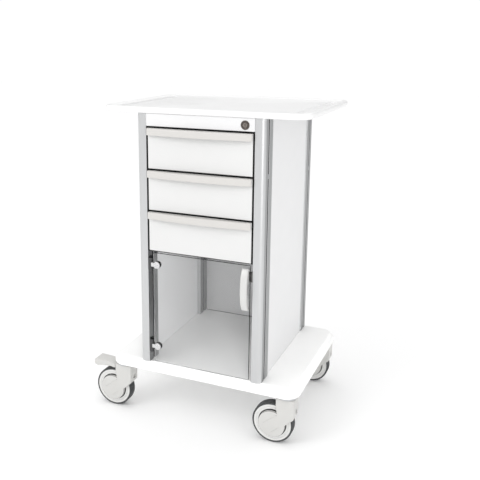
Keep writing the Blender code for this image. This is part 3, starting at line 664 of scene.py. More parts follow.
class Shape:
    """A mesh under way, in the frame's axes."""

    def __init__(self, bm: Optional[bmesh.types.BMesh] = None) -> None:
        """Starts from a bmesh, or from nothing."""
        self.bm = bm or bmesh.new()

    @classmethod
    def loft(cls, rings: Sequence[Sequence[Vector]], loop: bool = False) -> "Shape":
        """Skins rings of equal length, capped unless they join up.

        Args:
            rings: The rings in order.
            loop: True if the last ring joins the first.

        Returns:
            The shape.
        """
        shape = cls()
        rows = [[shape.bm.verts.new(p) for p in ring] for ring in rings]
        pairs = list(zip(rows, rows[1:])) + ([(rows[-1], rows[0])] if loop else [])
        for low, high in pairs:
            for i in range(len(low)):
                j = (i + 1) % len(low)
                shape.bm.faces.new((low[i], low[j], high[j], high[i]))
        if not loop:
            shape.bm.faces.new(list(reversed(rows[0])))
            shape.bm.faces.new(rows[-1])
        return shape

    @classmethod
    def prism(
        cls, outline: Sequence[Point2], low: float, high: float, facing: Facing = Facing.UP
    ) -> "Shape":
        """Extrudes an outline from low to high and lays it as asked."""
        shape = cls.loft([[Vector((x, y, z)) for x, y in outline] for z in (low, high)])
        return shape.turned_by(facing.value)

    @classmethod
    def box(cls, low: Sequence[float], high: Sequence[float]) -> "Shape":
        """A box between two corners."""
        outline = [(low[0], low[1]), (high[0], low[1]), (high[0], high[1]), (low[0], high[1])]
        return cls.prism(outline, low[2], high[2])

    @classmethod
    def spun(
        cls, profile: Sequence[Point2], segments: int = 64, facing: Facing = Facing.UP,
        ring: bool = False,
    ) -> "Shape":
        """Turns a profile of (radius, height) about the third axis.

        Args:
            profile: The outline, open with its ends capped, or closed for a ring.
            segments: How many sides.
            facing: How the axis is laid.
            ring: True for a closed profile with a hole in the middle.

        Returns:
            The shape.
        """
        angles = [2 * math.pi * i / segments for i in range(segments)]
        rings = [[Vector((r * math.cos(a), r * math.sin(a), z)) for a in angles] for r, z in profile]
        if ring:
            rings = [list(section) for section in zip(*rings)]
        return cls.loft(rings, loop=ring).turned_by(facing.value)

    @classmethod
    def surround(
        cls, low: Vector, high: Vector, out_x: float, out_z: float, y0: float, y1: float
    ) -> "Shape":
        """A square-section frame round a rectangle that faces Y.

        Args:
            low: The rectangle's lowest corner.
            high: Its highest corner.
            out_x: How far the frame reaches out sideways.
            out_z: How far it reaches out up and down.
            y0: Where its section starts along Y.
            y1: Where its section ends.

        Returns:
            The shape.
        """
        rings = []
        for sx, sz in ((-1, -1), (1, -1), (1, 1), (-1, 1)):
            x, z = (high.x if sx > 0 else low.x), (high.z if sz > 0 else low.z)
            inner, outer = (x, z), (x + sx * out_x, z + sz * out_z)
            rings.append([Vector((px, y, pz)) for (px, pz), y in
                          ((inner, y0), (outer, y0), (outer, y1), (inner, y1))])
        return cls.loft(rings, loop=True)

    def turned_by(self, matrix: Matrix) -> "Shape":
        """Turns the shape by a matrix."""
        bmesh.ops.transform(self.bm, matrix=matrix, verts=self.bm.verts)
        return self

    def moved(self, x: float, y: float, z: float) -> "Shape":
        """Moves the shape."""
        bmesh.ops.translate(self.bm, vec=(x, y, z), verts=self.bm.verts)
        return self

    def joined(self, *others: "Shape") -> "Shape":
        """Adds other shapes' faces to this one."""
        for other in others:
            mesh = bpy.data.meshes.new("joined")
            other.bm.to_mesh(mesh)
            self.bm.from_mesh(mesh)
            bpy.data.meshes.remove(mesh)
            other.bm.free()
        return self

    def named(self, name: str) -> bpy.types.Object:
        """Makes the object, its faces turned outwards."""
        bmesh.ops.recalc_face_normals(self.bm, faces=self.bm.faces)
        mesh = bpy.data.meshes.new(name)
        self.bm.to_mesh(mesh)
        self.bm.free()
        made = bpy.data.objects.new(name, mesh)
        bpy.context.scene.collection.objects.link(made)
        return made


def cut(target: bpy.types.Object, *cutters: Shape) -> bpy.types.Object:
    """Cuts shapes from an object, with the result applied."""
    for cutter in cutters:
        helper = cutter.named(f"{target.name}_cutter")
        step = target.modifiers.new("cut", "BOOLEAN")
        step.solver = "EXACT"
        step.object = helper
        apply_modifiers(target)
        bpy.data.objects.remove(helper)
    return target


def apply_modifiers(target: bpy.types.Object) -> bpy.types.Object:
    """Bakes an object's modifiers into its mesh."""
    graph = bpy.context.evaluated_depsgraph_get()
    graph.update()
    mesh = bpy.data.meshes.new_from_object(target.evaluated_get(graph))
    old = target.data
    target.modifiers.clear()
    target.data = mesh
    bpy.data.meshes.remove(old)
    return target


def soften(
    target: bpy.types.Object, width: float, segments: int = 3, angle: float = 35
) -> bpy.types.Object:
    """Rounds the edges that turn by more than an angle, and bakes it in."""
    step = target.modifiers.new("rounded", "BEVEL")
    step.width = width
    step.segments = segments
    step.limit_method = "ANGLE"
    step.angle_limit = math.radians(angle)
    step.use_clamp_overlap = True
    return apply_modifiers(target)


@dataclass
class SubAssembly:
    """A group of pieces that are built, dressed and hung on their bodies together."""

    def settle(
        self, piece: bpy.types.Object, body: str, finish: Finish, nodes: Iterable[str] = (),
        sharp: float = 32.0,
    ) -> bpy.types.Object:
        """Gives a piece its finish and its body, and hides the nodes it stands for.

        Args:
            piece: The new piece.
            body: The body that it rides on.
            finish: Its finish.
            nodes: The frame's nodes that it replaces.
            sharp: Edges that turn by more than this many degrees stay sharp.

        Returns:
            The piece.
        """
        piece.data.materials.clear()
        piece.data.materials.append(finish.material())
        for polygon in piece.data.polygons:
            polygon.material_index = 0
        piece.data.shade_smooth()
        piece.data.set_sharp_from_angle(angle=math.radians(sharp))
        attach(piece, body)
        if nodes:
            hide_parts(*nodes)
        log.info("%s rides on %s", piece.name, body)
        return piece

    def second_finish(
        self, piece: bpy.types.Object, finish: Finish, picks: Callable[[Vector, Vector], bool]
    ) -> None:
        """Gives some of a piece's faces another finish.

        Args:
            piece: The settled piece.
            finish: The other finish.
            picks: Says from a face's middle and its normal whether it takes it.
        """
        piece.data.materials.append(finish.material())
        last = len(piece.data.materials) - 1
        for polygon in piece.data.polygons:
            if picks(polygon.center, polygon.normal):
                polygon.material_index = last

    def dress(self, node: str, finish: Finish) -> None:
        """Gives a carried-over node a finish."""
        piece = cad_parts[node]
        piece.data.materials.clear()
        piece.data.materials.append(finish.material())
        log.info("%s keeps its shape", node)


CORNERS: dict[str, tuple[int, int]] = {
    "front_left": (-1, -1), "front_right": (1, -1), "rear_left": (-1, 1), "rear_right": (1, 1),
}


@dataclass
class Worktop(SubAssembly):
    """The moulded top: a raised lip round a flat field, with two hand slots."""

    corner: float = 0.050
    edge: float = 0.0065
    lip: float = 0.020
    lip_height: float = 0.004
    lip_steps: int = 8
    slot_width: float = 0.026
    slot_length: float = 0.380
    slot_in: float = 0.020

    def build(self) -> None:
        """Lofts the top from rounded rings and cuts its slots."""
        low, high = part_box("worktop")
        centre, size = (low + high) / 2, high - low

        def ring(z: float, inset: float) -> list[Vector]:
            return level_ring(centre, size, z, inset, self.corner - inset)

        rings = [ring(low.z, 0.012)]
        rings += [ring(low.z + rise, inset) for rise, inset in reversed(rounding(self.edge))]
        rings += [ring(high.z - drop, inset) for drop, inset in rounding(self.edge * 0.8)]
        for i in range(1, self.lip_steps + 1):
            share = i / self.lip_steps
            drop = self.lip_height * (share * share * (3 - 2 * share))
            rings.append(ring(high.z - drop, self.lip - 0.010 + 0.012 * share))
        rings.append(ring(high.z - self.lip_height, self.lip + 0.006))
        top = Shape.loft(rings).named("worktop_top")
        slots = []
        for side in (-1, 1):
            x = centre.x + side * (size.x / 2 - self.lip - self.slot_in)
            hole = Shape.prism(stadium(self.slot_width, self.slot_length), low.z - 0.01, high.z + 0.01)
            slots.append(hole.moved(x, centre.y, 0))
        cut(top, *slots)
        soften(top, 0.003, 3, 50)
        self.settle(top, "cabinet", WORKTOP_PAINTED_LIGHT_WHITE, ["worktop"])


@dataclass
class Base(SubAssembly):
    """The wide moulded base with a stepped edge."""

    corner: float = 0.045
    edge: float = 0.004
    skirt: float = 0.018
    step_in: float = 0.012

    def build(self) -> None:
        """Lofts the base from rounded rings."""
        low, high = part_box("base_plate")
        centre, size = (low + high) / 2, high - low

        def ring(z: float, inset: float) -> list[Vector]:
            return level_ring(centre, size, z, inset, self.corner - inset)

        shoulder = low.z + self.skirt
        rings = [ring(low.z, 0.006), ring(low.z + 0.0006, 0.0025), ring(low.z + 0.003, 0.0)]
        rings += [ring(shoulder - drop, inset) for drop, inset in rounding(self.edge)]
        rings += [ring(shoulder + 0.0005, self.step_in - 0.004),
                  ring(shoulder + 0.002, self.step_in - 0.001)]
        rings += [ring(high.z - drop, self.step_in + inset) for drop, inset in rounding(self.edge)]
        rings.append(ring(high.z, self.step_in + 0.010))
        base = Shape.loft(rings).named("base_moulding")
        self.settle(base, "cabinet", BASE_PAINTED_LIGHT_WHITE, ["base_plate"], 40)


@dataclass
class Cabinet(SubAssembly):
    """Posts, panels, header and shelf."""

    corner: float = 0.014
    slot_mouth: float = 0.008
    slot_inner: float = 0.016
    slot_lip: float = 0.0025
    slot_deep: float = 0.0075
    slot_chamfer: float = 0.0007
    small_corner: float = 0.001
    nut_depth: float = 0.004
    shadow_strip: float = 0.0028
    strip_in: float = 0.0004
    strip_down: float = 0.004
    nut_length: float = 0.014
    nut_front: float = 0.29
    nut_rear: float = 0.23

    def post_outline(self, width: float, depth: float) -> list[Point2]:
        """A post in plan with its round corner at +X +Y."""
        half, right, left = depth / 2, width / 2, -width / 2
        mouth, inner, chamfer = self.slot_mouth / 2, self.slot_inner / 2, self.slot_chamfer

        def groove(x: float, inward: int) -> list[Point2]:
            lip, deep = x + inward * self.slot_lip, x + inward * self.slot_deep
            near = x + inward * chamfer
            return [
                (x, -mouth - chamfer), (near, -mouth), (lip, -mouth), (lip, -inner), (deep, -inner),
                (deep, inner), (lip, inner), (lip, mouth), (near, mouth), (x, mouth + chamfer),
            ]

        corner = arc(right - self.corner, half - self.corner, self.corner, 0, 90, 20)
        small = self.small_corner
        foot = arc(left + small, -half + small, small, 180, 270, 4)
        heel = arc(right - small, -half + small, small, 270, 360, 4)
        toe = arc(left + small, half - small, small, 90, 180, 4)
        return foot + heel + groove(right, -1) + corner + toe + list(reversed(groove(left, 1)))

    def build(self) -> None:
        """Makes the posts and dresses the flat pieces."""
        for corner, (sx, sy) in CORNERS.items():
            name = f"post_{corner}"
            low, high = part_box(name)
            centre, size = (low + high) / 2, high - low
            outline = [(sx * x + centre.x, sy * y + centre.y)
                       for x, y in self.post_outline(size.x, size.y)]
            post = Shape.prism(outline, low.z, high.z).named(f"{name}_extrusion")
            self.settle(post, "cabinet", ANODISED, [name], 25)

            # Faces inside the slots take the near-black finish: painted shade in the grooves.
            def in_groove(
                middle: Vector, normal: Vector, centre: Vector = centre, size: Vector = size
            ) -> bool:
                return (abs(middle.y - centre.y) < self.slot_inner / 2 + 0.0001
                        and size.x / 2 - abs(middle.x - centre.x) > self.slot_lip * 0.2
                        and abs(normal.z) < 0.5)

            # Faces along X take the darker copy of the metal: painted shade on the posts' side faces.
            self.second_finish(post, ANODISED_PAINTED_SHADE, lambda middle, normal: abs(normal.x) > 0.97)
            self.second_finish(post, GROOVE_PAINTED_SHADE, in_groove)
            self.slot_nut(corner, centre, size, sx)
        # The header rail takes the lighter panel white rather than the fronts' white: painted light
        # against the worktop's shadow on it.
        panels = ("side_panel_left", "side_panel_right", "back_panel", "divider_shelf", "header_rail")
        for name in panels:
            self.dress(name, PANEL_WHITE)
        _, base_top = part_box("base_plate")
        # Black strips under the side and back panels: painted shadow in the gap between panels and
        # base.
        for side in ("side_panel_left", "side_panel_right", "back_panel"):
            low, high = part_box(side)
            foot = base_top.z - self.strip_down
            strip = Shape.box((low.x + self.strip_in, low.y + self.strip_in, foot),
                              (high.x - self.strip_in, high.y - self.strip_in, low.z + self.strip_in))
            self.settle(strip.named(f"{side}_seal"), "cabinet", BLACK_CAP_AND_PAINTED_SHADOW)
        # A black strip under the header rail: painted shadow in the gap above the top drawer.
        low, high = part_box("header_rail")
        under = Shape.box((low.x, low.y + 0.0015, low.z - self.shadow_strip), (high.x, high.y, low.z))
        self.settle(soften(under.named("header_shadow_strip"), 0.0004, 2), "cabinet", BLACK_CAP_AND_PAINTED_SHADOW)

    def slot_nut(self, corner: str, centre: Vector, size: Vector, side: int) -> None:
        """Puts a plated nut with its screw in the outer groove of a post.

        Args:
            corner: Which post.
            centre: The post's middle.
            size: The post's size.
            side: 1 for the right-hand posts, -1 for the left.
        """
        level = centre.z + size.z * (self.nut_front if centre.y < 0 else self.nut_rear)
        face = centre.x + side * (size.x / 2 - self.slot_lip * 0.4)
        half = self.slot_mouth / 2 - 0.0004
        block = Shape.box(
            (min(face, face - side * self.nut_depth), centre.y - half, level - self.nut_length / 2),
            (max(face, face - side * self.nut_depth), centre.y + half, level + self.nut_length / 2),
        )
        nut = soften(block.named(f"slot_nut_{corner}"), 0.0006, 2)
        self.settle(nut, "cabinet", ZINC)


@dataclass
class Drawers(SubAssembly):
    """The three drawers with their fronts, pulls, trays and slides."""

    count: int = 3
    pull_end: float = 0.009
    pull_mid: float = 0.019
    pull_skin: float = 0.003
    pull_round: float = 0.004
    pull_inside: float = 0.002
    pull_steps: int = 40
    shadow_strip_side: float = 0.0048
    shadow_strip_level: float = 0.0026
    tray_wall: float = 0.0025
    tray_corner: float = 0.012
    tray_brim: float = 0.0008
    tray_fillet: float = 0.007

    def section(self, depth: float, height: float) -> list[Point2]:
        """The pull's cross-section as (forward, down) points."""
        skin, r, inner_r = self.pull_skin, self.pull_round, self.pull_inside
        outer = [(depth - r + r * math.sin(a), r - r * math.cos(a))
                 for a in (math.radians(15 * i) for i in range(7))]
        lip = [(depth - skin / 2 + skin / 2 * math.cos(a), height - skin / 2 + skin / 2 * math.sin(a))
               for a in (math.radians(30 * i) for i in range(7))]
        inner = [(depth - skin - inner_r + inner_r * math.cos(a),
                  skin + inner_r - inner_r * math.sin(a))
                 for a in (math.radians(22.5 * i) for i in range(5))]
        return [(0.0, 0.0)] + outer + lip + inner + [(0.0, skin)]

    def build(self) -> None:
        """Makes every drawer."""
        for number in range(1, self.count + 1):
            self.build_drawer(number)

    def build_drawer(self, number: int) -> None:
        """Makes one drawer's front and pull, and dresses its tray and slides."""
        body = f"drawer_{number}"
        low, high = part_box(f"drawer_front_{number}")
        front = soften(Shape.box(low, high).named(f"{body}_front_panel"), 0.0015, 3)
        self.settle(front, body, FRONT_PAINTED_SHADE_WHITE, [f"drawer_front_{number}"])

        low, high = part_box(f"drawer_pull_{number}")
        centre, half, height = (low.x + high.x) / 2, (high.x - low.x) / 2, high.z - low.z
        rings = []
        for i in range(self.pull_steps + 1):
            along = -1 + 2 * i / self.pull_steps
            depth = self.pull_end + (self.pull_mid - self.pull_end) * (1 - along * along)
            rings.append([Vector((centre + along * half, high.y - f, high.z - d))
                          for f, d in self.section(depth, height)])
        pull = soften(Shape.loft(rings).named(f"{body}_finger_pull"), 0.0006, 2, 60)
        self.settle(pull, body, PULL_GREY, [f"drawer_pull_{number}"], 50)
        # A black frame round each drawer front: painted shadow in the gaps round the drawer.
        low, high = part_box(f"drawer_front_{number}")
        bite = Vector((0.0005, 0, 0.0005))
        shadow_strip = Shape.surround(low + bite, high - bite, self.shadow_strip_side, self.shadow_strip_level,
                              low.y + 0.0015, high.y - 0.001)
        self.settle(shadow_strip.named(f"{body}_seal"), body, BLACK_CAP_AND_PAINTED_SHADOW)
        self.build_tray(number, body)
        for side in ("left", "right"):
            self.dress(f"slide_rail_{side}_{number}", ZINC)
            self.dress(f"slide_runner_{side}_{number}", ZINC)

    def build_tray(self, number: int, body: str) -> None:
        """Makes a moulded tray with round corners and a filleted floor."""
        low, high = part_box(f"drawer_box_{number}")
        centre, size = (low + high) / 2, high - low
        wall, corner = self.tray_wall, self.tray_corner

        def ring(z: float, inset: float) -> list[Vector]:
            return level_ring(centre, size, z, inset, max(corner - inset, 0.002), 8)

        brim, fillet = rounding(self.tray_brim, 5), rounding(self.tray_fillet, 5)
        rings = [ring(low.z, 0.003), ring(low.z + 0.003, 0.0)]
        rings += [ring(high.z - drop, inset) for drop, inset in brim]
        rings += [ring(high.z - inset, wall - drop) for drop, inset in brim]
        rings += [ring(low.z + wall + rise, wall + inset) for rise, inset in fillet]
        tray = Shape.loft(rings).named(f"{body}_tray")
        self.settle(tray, body, TRAY_WHITE, [f"drawer_box_{number}"], 40)


@dataclass
class Lock(SubAssembly):
    """The round cam lock in the header."""

    bore: float = 0.0073
    flange: float = 0.0130
    barrel: float = 0.0095
    flange_depth: float = 0.0020
    dome: float = 0.0016

    def build(self) -> None:
        """Turns the bezel and its barrel, and dresses the plug."""
        low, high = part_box("lock_housing")
        centre = (low + high) / 2
        front, back = low.y, high.y
        face = front + self.flange_depth - 0.0003
        dome = [(self.flange - self.dome * (1 - math.cos(a)), face - self.dome * math.sin(a))
                for a in (math.radians(18 * i) for i in range(6))]
        profile = [(self.bore, back), (self.barrel, back), (self.barrel, face)] + dome
        profile += [(self.bore + 0.0012, front), (self.bore + 0.0002, front + 0.0008)]
        bezel = Shape.spun(profile, 64, Facing.ALONG_Y, ring=True).moved(centre.x, 0, centre.z)
        self.settle(bezel.named("lock_bezel"), "cabinet", LOCK_DARK, ["lock_housing"], 50)
        self.dress("lock_cylinder", LOCK_PLUG)


@dataclass
class Door(SubAssembly):
    """The clear door with its hinges, handle and catch."""

    knuckle: float = 0.0055
    pin_bore: float = 0.0022
    disc: float = 0.0110
    disc_rim: float = 0.0008
    bolt: float = 0.0040
    head: float = 0.0042
    arm_room: float = 0.001
    foot_round: float = 0.0045
    foot: float = 0.042
    bar: float = 0.011
    end_depth: float = 0.006

    def build(self) -> None:
        """Makes the clamps, caps and handle, and dresses the rest."""
        self.dress("door_pane", PANE_CLEAR)
        for level in ("upper", "lower"):
            self.dress(f"hinge_leaf_{level}", HINGE_DARK)
            self.clamp(level)
            self.cap(level)
        self.handle()
        self.dress("door_strike", ZINC)
        low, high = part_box("door_catch")
        catch = soften(Shape.box(low, high).named("door_catch_body"), 0.0015, 3)
        self.settle(catch, "cabinet", CATCH_DARK, ["door_catch"])

    def clamp(self, level: str) -> None:
        """Makes a hinge clamp: a knuckle, an arm and a disc on each side of the pane."""
        low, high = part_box(f"hinge_clamp_{level}")
        pane_low, pane_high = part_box("door_pane")
        leaf_low, leaf_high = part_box(f"hinge_leaf_{level}")
        z, x = (low.z + high.z) / 2, high.x - self.disc
        half = (leaf_high.z - leaf_low.z) / 6
        axis_x, axis_y = low.x + self.knuckle, leaf_low.y + self.knuckle
        rim = self.disc_rim
        profile = [(self.pin_bore, z - half), (self.knuckle, z - half), (self.knuckle, z + half),
                   (self.pin_bore, z + half)]
        knuckle = Shape.spun(profile, 40, ring=True).moved(axis_x, axis_y, 0)
        front, back = low.y, high.y
        discs = []
        for outer, inner in ((front, pane_low.y), (back, pane_high.y)):
            way = 1 if inner > outer else -1
            outline = [(self.disc, inner), (self.disc, outer + way * rim), (self.disc - rim, outer),
                       (self.disc * 0.62, outer), (self.disc * 0.56, outer + way * rim * 1.6)]
            discs.append(Shape.spun(outline, 56, Facing.ALONG_Y).moved(x, 0, z))
        shank = Shape.spun([(self.bolt, front + 0.002), (self.bolt, back - 0.002)], 32, Facing.ALONG_Y)
        hexagon = [(self.head, front + 0.002), (self.head, front + 0.0003), (0.0036, front)]
        head = Shape.spun(hexagon, 6, Facing.ALONG_Y)
        room = self.arm_room
        arm = Shape.box((axis_x + self.pin_bore + room, front + room, z - half + room),
                        (x, pane_low.y - rim, z + half - room))
        whole = knuckle.joined(*discs, shank.moved(x, 0, z), head.moved(x, 0, z), arm)
        piece = whole.named(f"hinge_{level}_clamp")
        self.settle(piece, "door", CHROME, [f"hinge_clamp_{level}"], 40)

        # The knuckle and arm take the dark paint, and the discs' rims take it as painted shade.
        def is_dark(middle: Vector, normal: Vector) -> bool:
            away = Vector((middle.x - x, middle.z - z)).length
            return away > self.disc * 1.02 or (away > self.disc * 0.9 and abs(normal.y) < 0.5)

        self.second_finish(piece, HINGE_DARK, is_dark)

    def cap(self, level: str) -> None:
        """Makes the black cap on the head of a hinge's pin."""
        low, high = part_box(f"hinge_leaf_{level}")
        clamp_low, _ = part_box(f"hinge_clamp_{level}")
        radius = self.knuckle
        dome = [(radius, high.z)] + [
            (radius * math.cos(a), high.z + 0.001 + 0.0025 * math.sin(a))
            for a in (math.radians(16 * i) for i in range(6))
        ]
        cap = Shape.spun(dome, 40).moved(clamp_low.x + self.knuckle, low.y + self.knuckle, 0)
        self.settle(cap.named(f"hinge_{level}_cap"), "cabinet", BLACK_CAP_AND_PAINTED_SHADOW, sharp=50)

    def handle(self) -> None:
        """Makes the arched pull handle."""
        low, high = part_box("door_handle")
        half, reach = (high.z - low.z) / 2, high.y - low.y
        middle, width = (high.z + low.z) / 2, high.x - low.x
        gap_half, steps = half - self.foot, 36
        outline = [(high.y, middle + half)]
        for i in range(steps + 1):
            along = 1 - 2 * i / steps
            out = reach * (1 - abs(along) ** 3.2) + self.end_depth * abs(along) ** 3.2
            outline.append((high.y - out, middle + along * half))
        outline.append((high.y, middle - half))
        for i in range(steps + 1):
            along = -1 + 2 * i / steps
            out = (reach - self.bar) * (1 - abs(along) ** 4)
            outline.append((high.y - out, middle + along * gap_half))
        shape = Shape.prism(outline, 0.0, width, Facing.ALONG_X).moved(low.x, 0, 0)
        handle = soften(shape.named("door_handle_grip"), self.foot_round, 5, 50)
        self.settle(handle, "door", HANDLE_WHITE, ["door_handle"], 50)


@dataclass
class Casters(SubAssembly):
    """The four swivel casters, two with brake pedals."""

    braked: tuple[str, ...] = ("front_left", "rear_right")
    disc: float = 0.0416
    disc_edge: float = 0.002
    head_half: float = 0.028
    arm: float = 0.006
    tread: float = 0.030
    side_room: float = 0.002
    top_room: float = 0.004
    kingpin_bore: float = 0.0085
    rim: float = 0.058
    rim_ring: float = 0.014
    rim_step: float = 0.0006
    groove_from: float = 0.0062
    groove_to: float = 0.0078
    groove_deep: float = 0.0012
    web_half: float = 0.0045
    shoulder: float = 0.0038
    cover_groove: float = 0.0005
    cover_deep: float = 0.0006
    cover_hole: float = 0.0012
    hub: float = 0.014
    axle: float = 0.005
    pedal_in: float = 0.007
    pedal_down: float = 0.009
    pedal_root: float = 0.0058
    pedal_root_width: float = 0.022
    pedal_pin: float = 0.0025
    pedal_room: float = 0.001
    pedal_step: float = 0.0028
    pin_room: float = 0.0004
    wheel_segments: int = 96

    def build(self) -> None:
        """Makes every caster."""
        for corner in CORNERS:
            self.dress(f"caster_mount_{corner}", ZINC)
            self.wheel(corner)
            self.tyre(corner)
            self.fork(corner)
        for corner in self.braked:
            self.pedal(corner)

    def centre(self, corner: str) -> Vector:
        """The middle of a caster's wheel."""
        low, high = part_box(f"caster_tyre_{corner}")
        return (low + high) / 2

    def wheel(self, corner: str) -> None:
        """Turns a wheel with a hub, a web and a broad stepped rim."""
        low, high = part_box(f"caster_wheel_{corner}")
        middle = self.centre(corner)
        hub_half, face, web = (high.y - low.y) / 2, self.tread / 2 - 0.002, self.web_half
        step, floor = self.rim_step, face - self.groove_deep
        inner = self.rim - self.rim_ring
        side = [
            (self.axle + 0.001, hub_half), (self.hub - 0.001, hub_half), (self.hub, hub_half - 0.001),
            (self.hub + 0.002, web), (inner - 0.002, web), (inner - step, face - step), (inner, face),
            (inner + self.groove_from, face), (inner + 0.0064, floor), (inner + 0.0076, floor),
            (inner + self.groove_to, face), (self.rim - 0.0016, face), (self.rim - 0.0010, face + step),
            (self.rim, face + step),
        ]
        profile = side + [(r, -y) for r, y in reversed(side)]
        wheel = Shape.spun(profile, self.wheel_segments, Facing.ALONG_Y, ring=True).moved(*middle)
        piece = wheel.named(f"wheel_{corner}_rim")
        self.settle(piece, f"wheel_{corner}", RIM_GREY, [f"caster_wheel_{corner}"], 35)

        # The web between hub and rim takes the dark grey: painted shade in the recess behind the fork
        # disc.
        def in_recess(centre: Vector, _: Vector) -> bool:
            away = Vector((centre.x - middle.x, centre.z - middle.z)).length
            return self.hub < away < inner - 0.0001

        self.second_finish(piece, RECESS_PAINTED_SHADE, in_recess)

    def tyre(self, corner: str) -> None:
        """Turns a tyre with round shoulders and two fine grooves round its tread."""
        low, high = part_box(f"caster_tyre_{corner}")
        middle, outer, half = self.centre(corner), (high.z - low.z) / 2, (high.y - low.y) / 2
        round_r = self.shoulder
        shoulder = [(outer - round_r + round_r * math.sin(a), half - round_r + round_r * math.cos(a))
                    for a in (math.radians(15 * i) for i in range(7))]
        side = [(self.rim + 0.0003, half - 0.0012), (self.rim + 0.0008, half - 0.0002)] + shoulder
        side += [(outer, 0.0042), (outer - 0.0006, 0.0038), (outer - 0.0006, 0.0030), (outer, 0.0026)]
        profile = side + [(r, -y) for r, y in reversed(side)]
        tyre = Shape.spun(profile, self.wheel_segments, Facing.ALONG_Y, ring=True).moved(*middle)
        self.settle(tyre.named(f"wheel_{corner}_tyre"), f"wheel_{corner}", TYRE_GREY,
                    [f"caster_tyre_{corner}"], 50)

    def fork_outline(self, top: float, left: float, right: float, pedal_z: float) -> list[Point2]:
        """The fork from the side, about the wheel's centre."""
        neck = math.degrees(math.acos((left + 0.004) / self.disc))
        heel = arc(right - 0.012, top - 0.007, 0.007, 0, 90, 6)
        toe = arc(right - 0.010, 0.032, 0.010, -55, 0, 5)
        return [(left, top), (left, pedal_z - 0.020), *arc(0, 0, self.disc, neck, 365, 72),
                *toe, *[(x + 0.005, z) for x, z in heel]]

    def fork(self, corner: str) -> None:
        """Makes a fork: a head over the wheel and a disc on each side of it."""
        _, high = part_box(f"caster_fork_{corner}")
        middle = self.centre(corner)
        mount_low, mount_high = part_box(f"caster_mount_{corner}")
        trail = (mount_low.x + mount_high.x) / 2 - middle.x
        top, left, right = high.z - middle.z, trail - self.head_half, trail + self.head_half
        inner = self.tread / 2 + self.side_room
        outer = inner + self.arm
        pedal_z = top - self.pedal_down
        body = Shape.prism(self.fork_outline(top, left, right, pedal_z), -outer, outer, Facing.ALONG_Y)
        fork = soften(body.named(f"caster_{corner}_fork"), 0.0018, 3, 40)
        pocket_r = middle.z + self.top_room
        pocket = [(pocket_r, -inner), (pocket_r, inner)]
        bore = Shape.spun([(self.kingpin_bore, 0.0), (self.kingpin_bore, top + 0.01)], 40)
        window = Shape.box((right - 0.006, -0.003, 0.036), (right + 0.01, 0.011, 0.050))
        cutters = [Shape.spun(pocket, self.wheel_segments, Facing.ALONG_Y),
                   bore.moved(trail, 0, 0), window]
        if corner in self.braked:
            half = self.pedal_root_width / 2 + self.pedal_room
            reach = self.pedal_root + self.pedal_room
            cutters.append(Shape.box((left - 0.010, -half, pedal_z - reach - 0.012),
                                     (left + self.pedal_in + reach, half, top + 0.010)))
        cutters += self.cover_lines(outer)
        cut(fork, *cutters)
        fork.data.transform(Matrix.Translation(middle))
        sunk = inner + 0.003
        axle = Shape.spun([(self.axle, -sunk), (self.axle, sunk)], 32, Facing.ALONG_Y)
        pieces = [axle.moved(*middle)]
        if corner in self.braked:
            sink = self.pedal_root_width / 2 + self.pedal_room + 0.004
            pin = Shape.spun([(self.pedal_pin, -sink), (self.pedal_pin, sink)], 24, Facing.ALONG_Y)
            pieces.append(pin.moved(middle.x + left + self.pedal_in, middle.y, middle.z + pedal_z))
        pins = pieces[0].joined(*pieces[1:]).named(f"caster_{corner}_pins")
        self.settle(pins, f"caster_{corner}", ZINC)
        self.settle(fork, f"caster_{corner}", CASTER_GREY, [f"caster_fork_{corner}"], 35)

        # The disc's rounded edge takes the dark grey: a painted shadow line between disc and wheel.
        def on_disc_edge(centre: Vector, normal: Vector) -> bool:
            away = Vector((centre.x - middle.x, centre.z - middle.z)).length
            return abs(away - self.disc) < self.disc_edge and 0.15 < abs(normal.y) < 0.8

        self.second_finish(fork, RECESS_PAINTED_SHADE, on_disc_edge)

    def cover_lines(self, outer: float) -> list[Shape]:
        """The parting lines and the small hole on the discs' outer faces, as cutters."""
        radius, wide, deep = self.disc, self.cover_groove, self.cover_deep
        lines = [((0.33, 0.74), (-0.62, -0.03)), ((0.46, -0.23), (-0.03, -0.64))]
        cutters = []
        for side in (-1, 1):
            for start, end in lines:
                a, b = Vector(start) * radius, Vector(end) * radius
                along = b - a
                turn = Matrix.Rotation(-math.atan2(along.y, along.x), 4, "Y")
                groove = Shape.box((0, side * outer - deep, -wide / 2),
                                   (along.length, side * outer + deep, wide / 2))
                cutters.append(groove.turned_by(turn).moved(a.x, 0, a.y))
            drill = [(self.cover_hole, side * outer - 0.003), (self.cover_hole, side * outer + 0.003)]
            hole = Shape.spun(drill, 16, Facing.ALONG_Y)
            cutters.append(hole.moved(0.34 * radius, 0, 0.76 * radius))
        return cutters

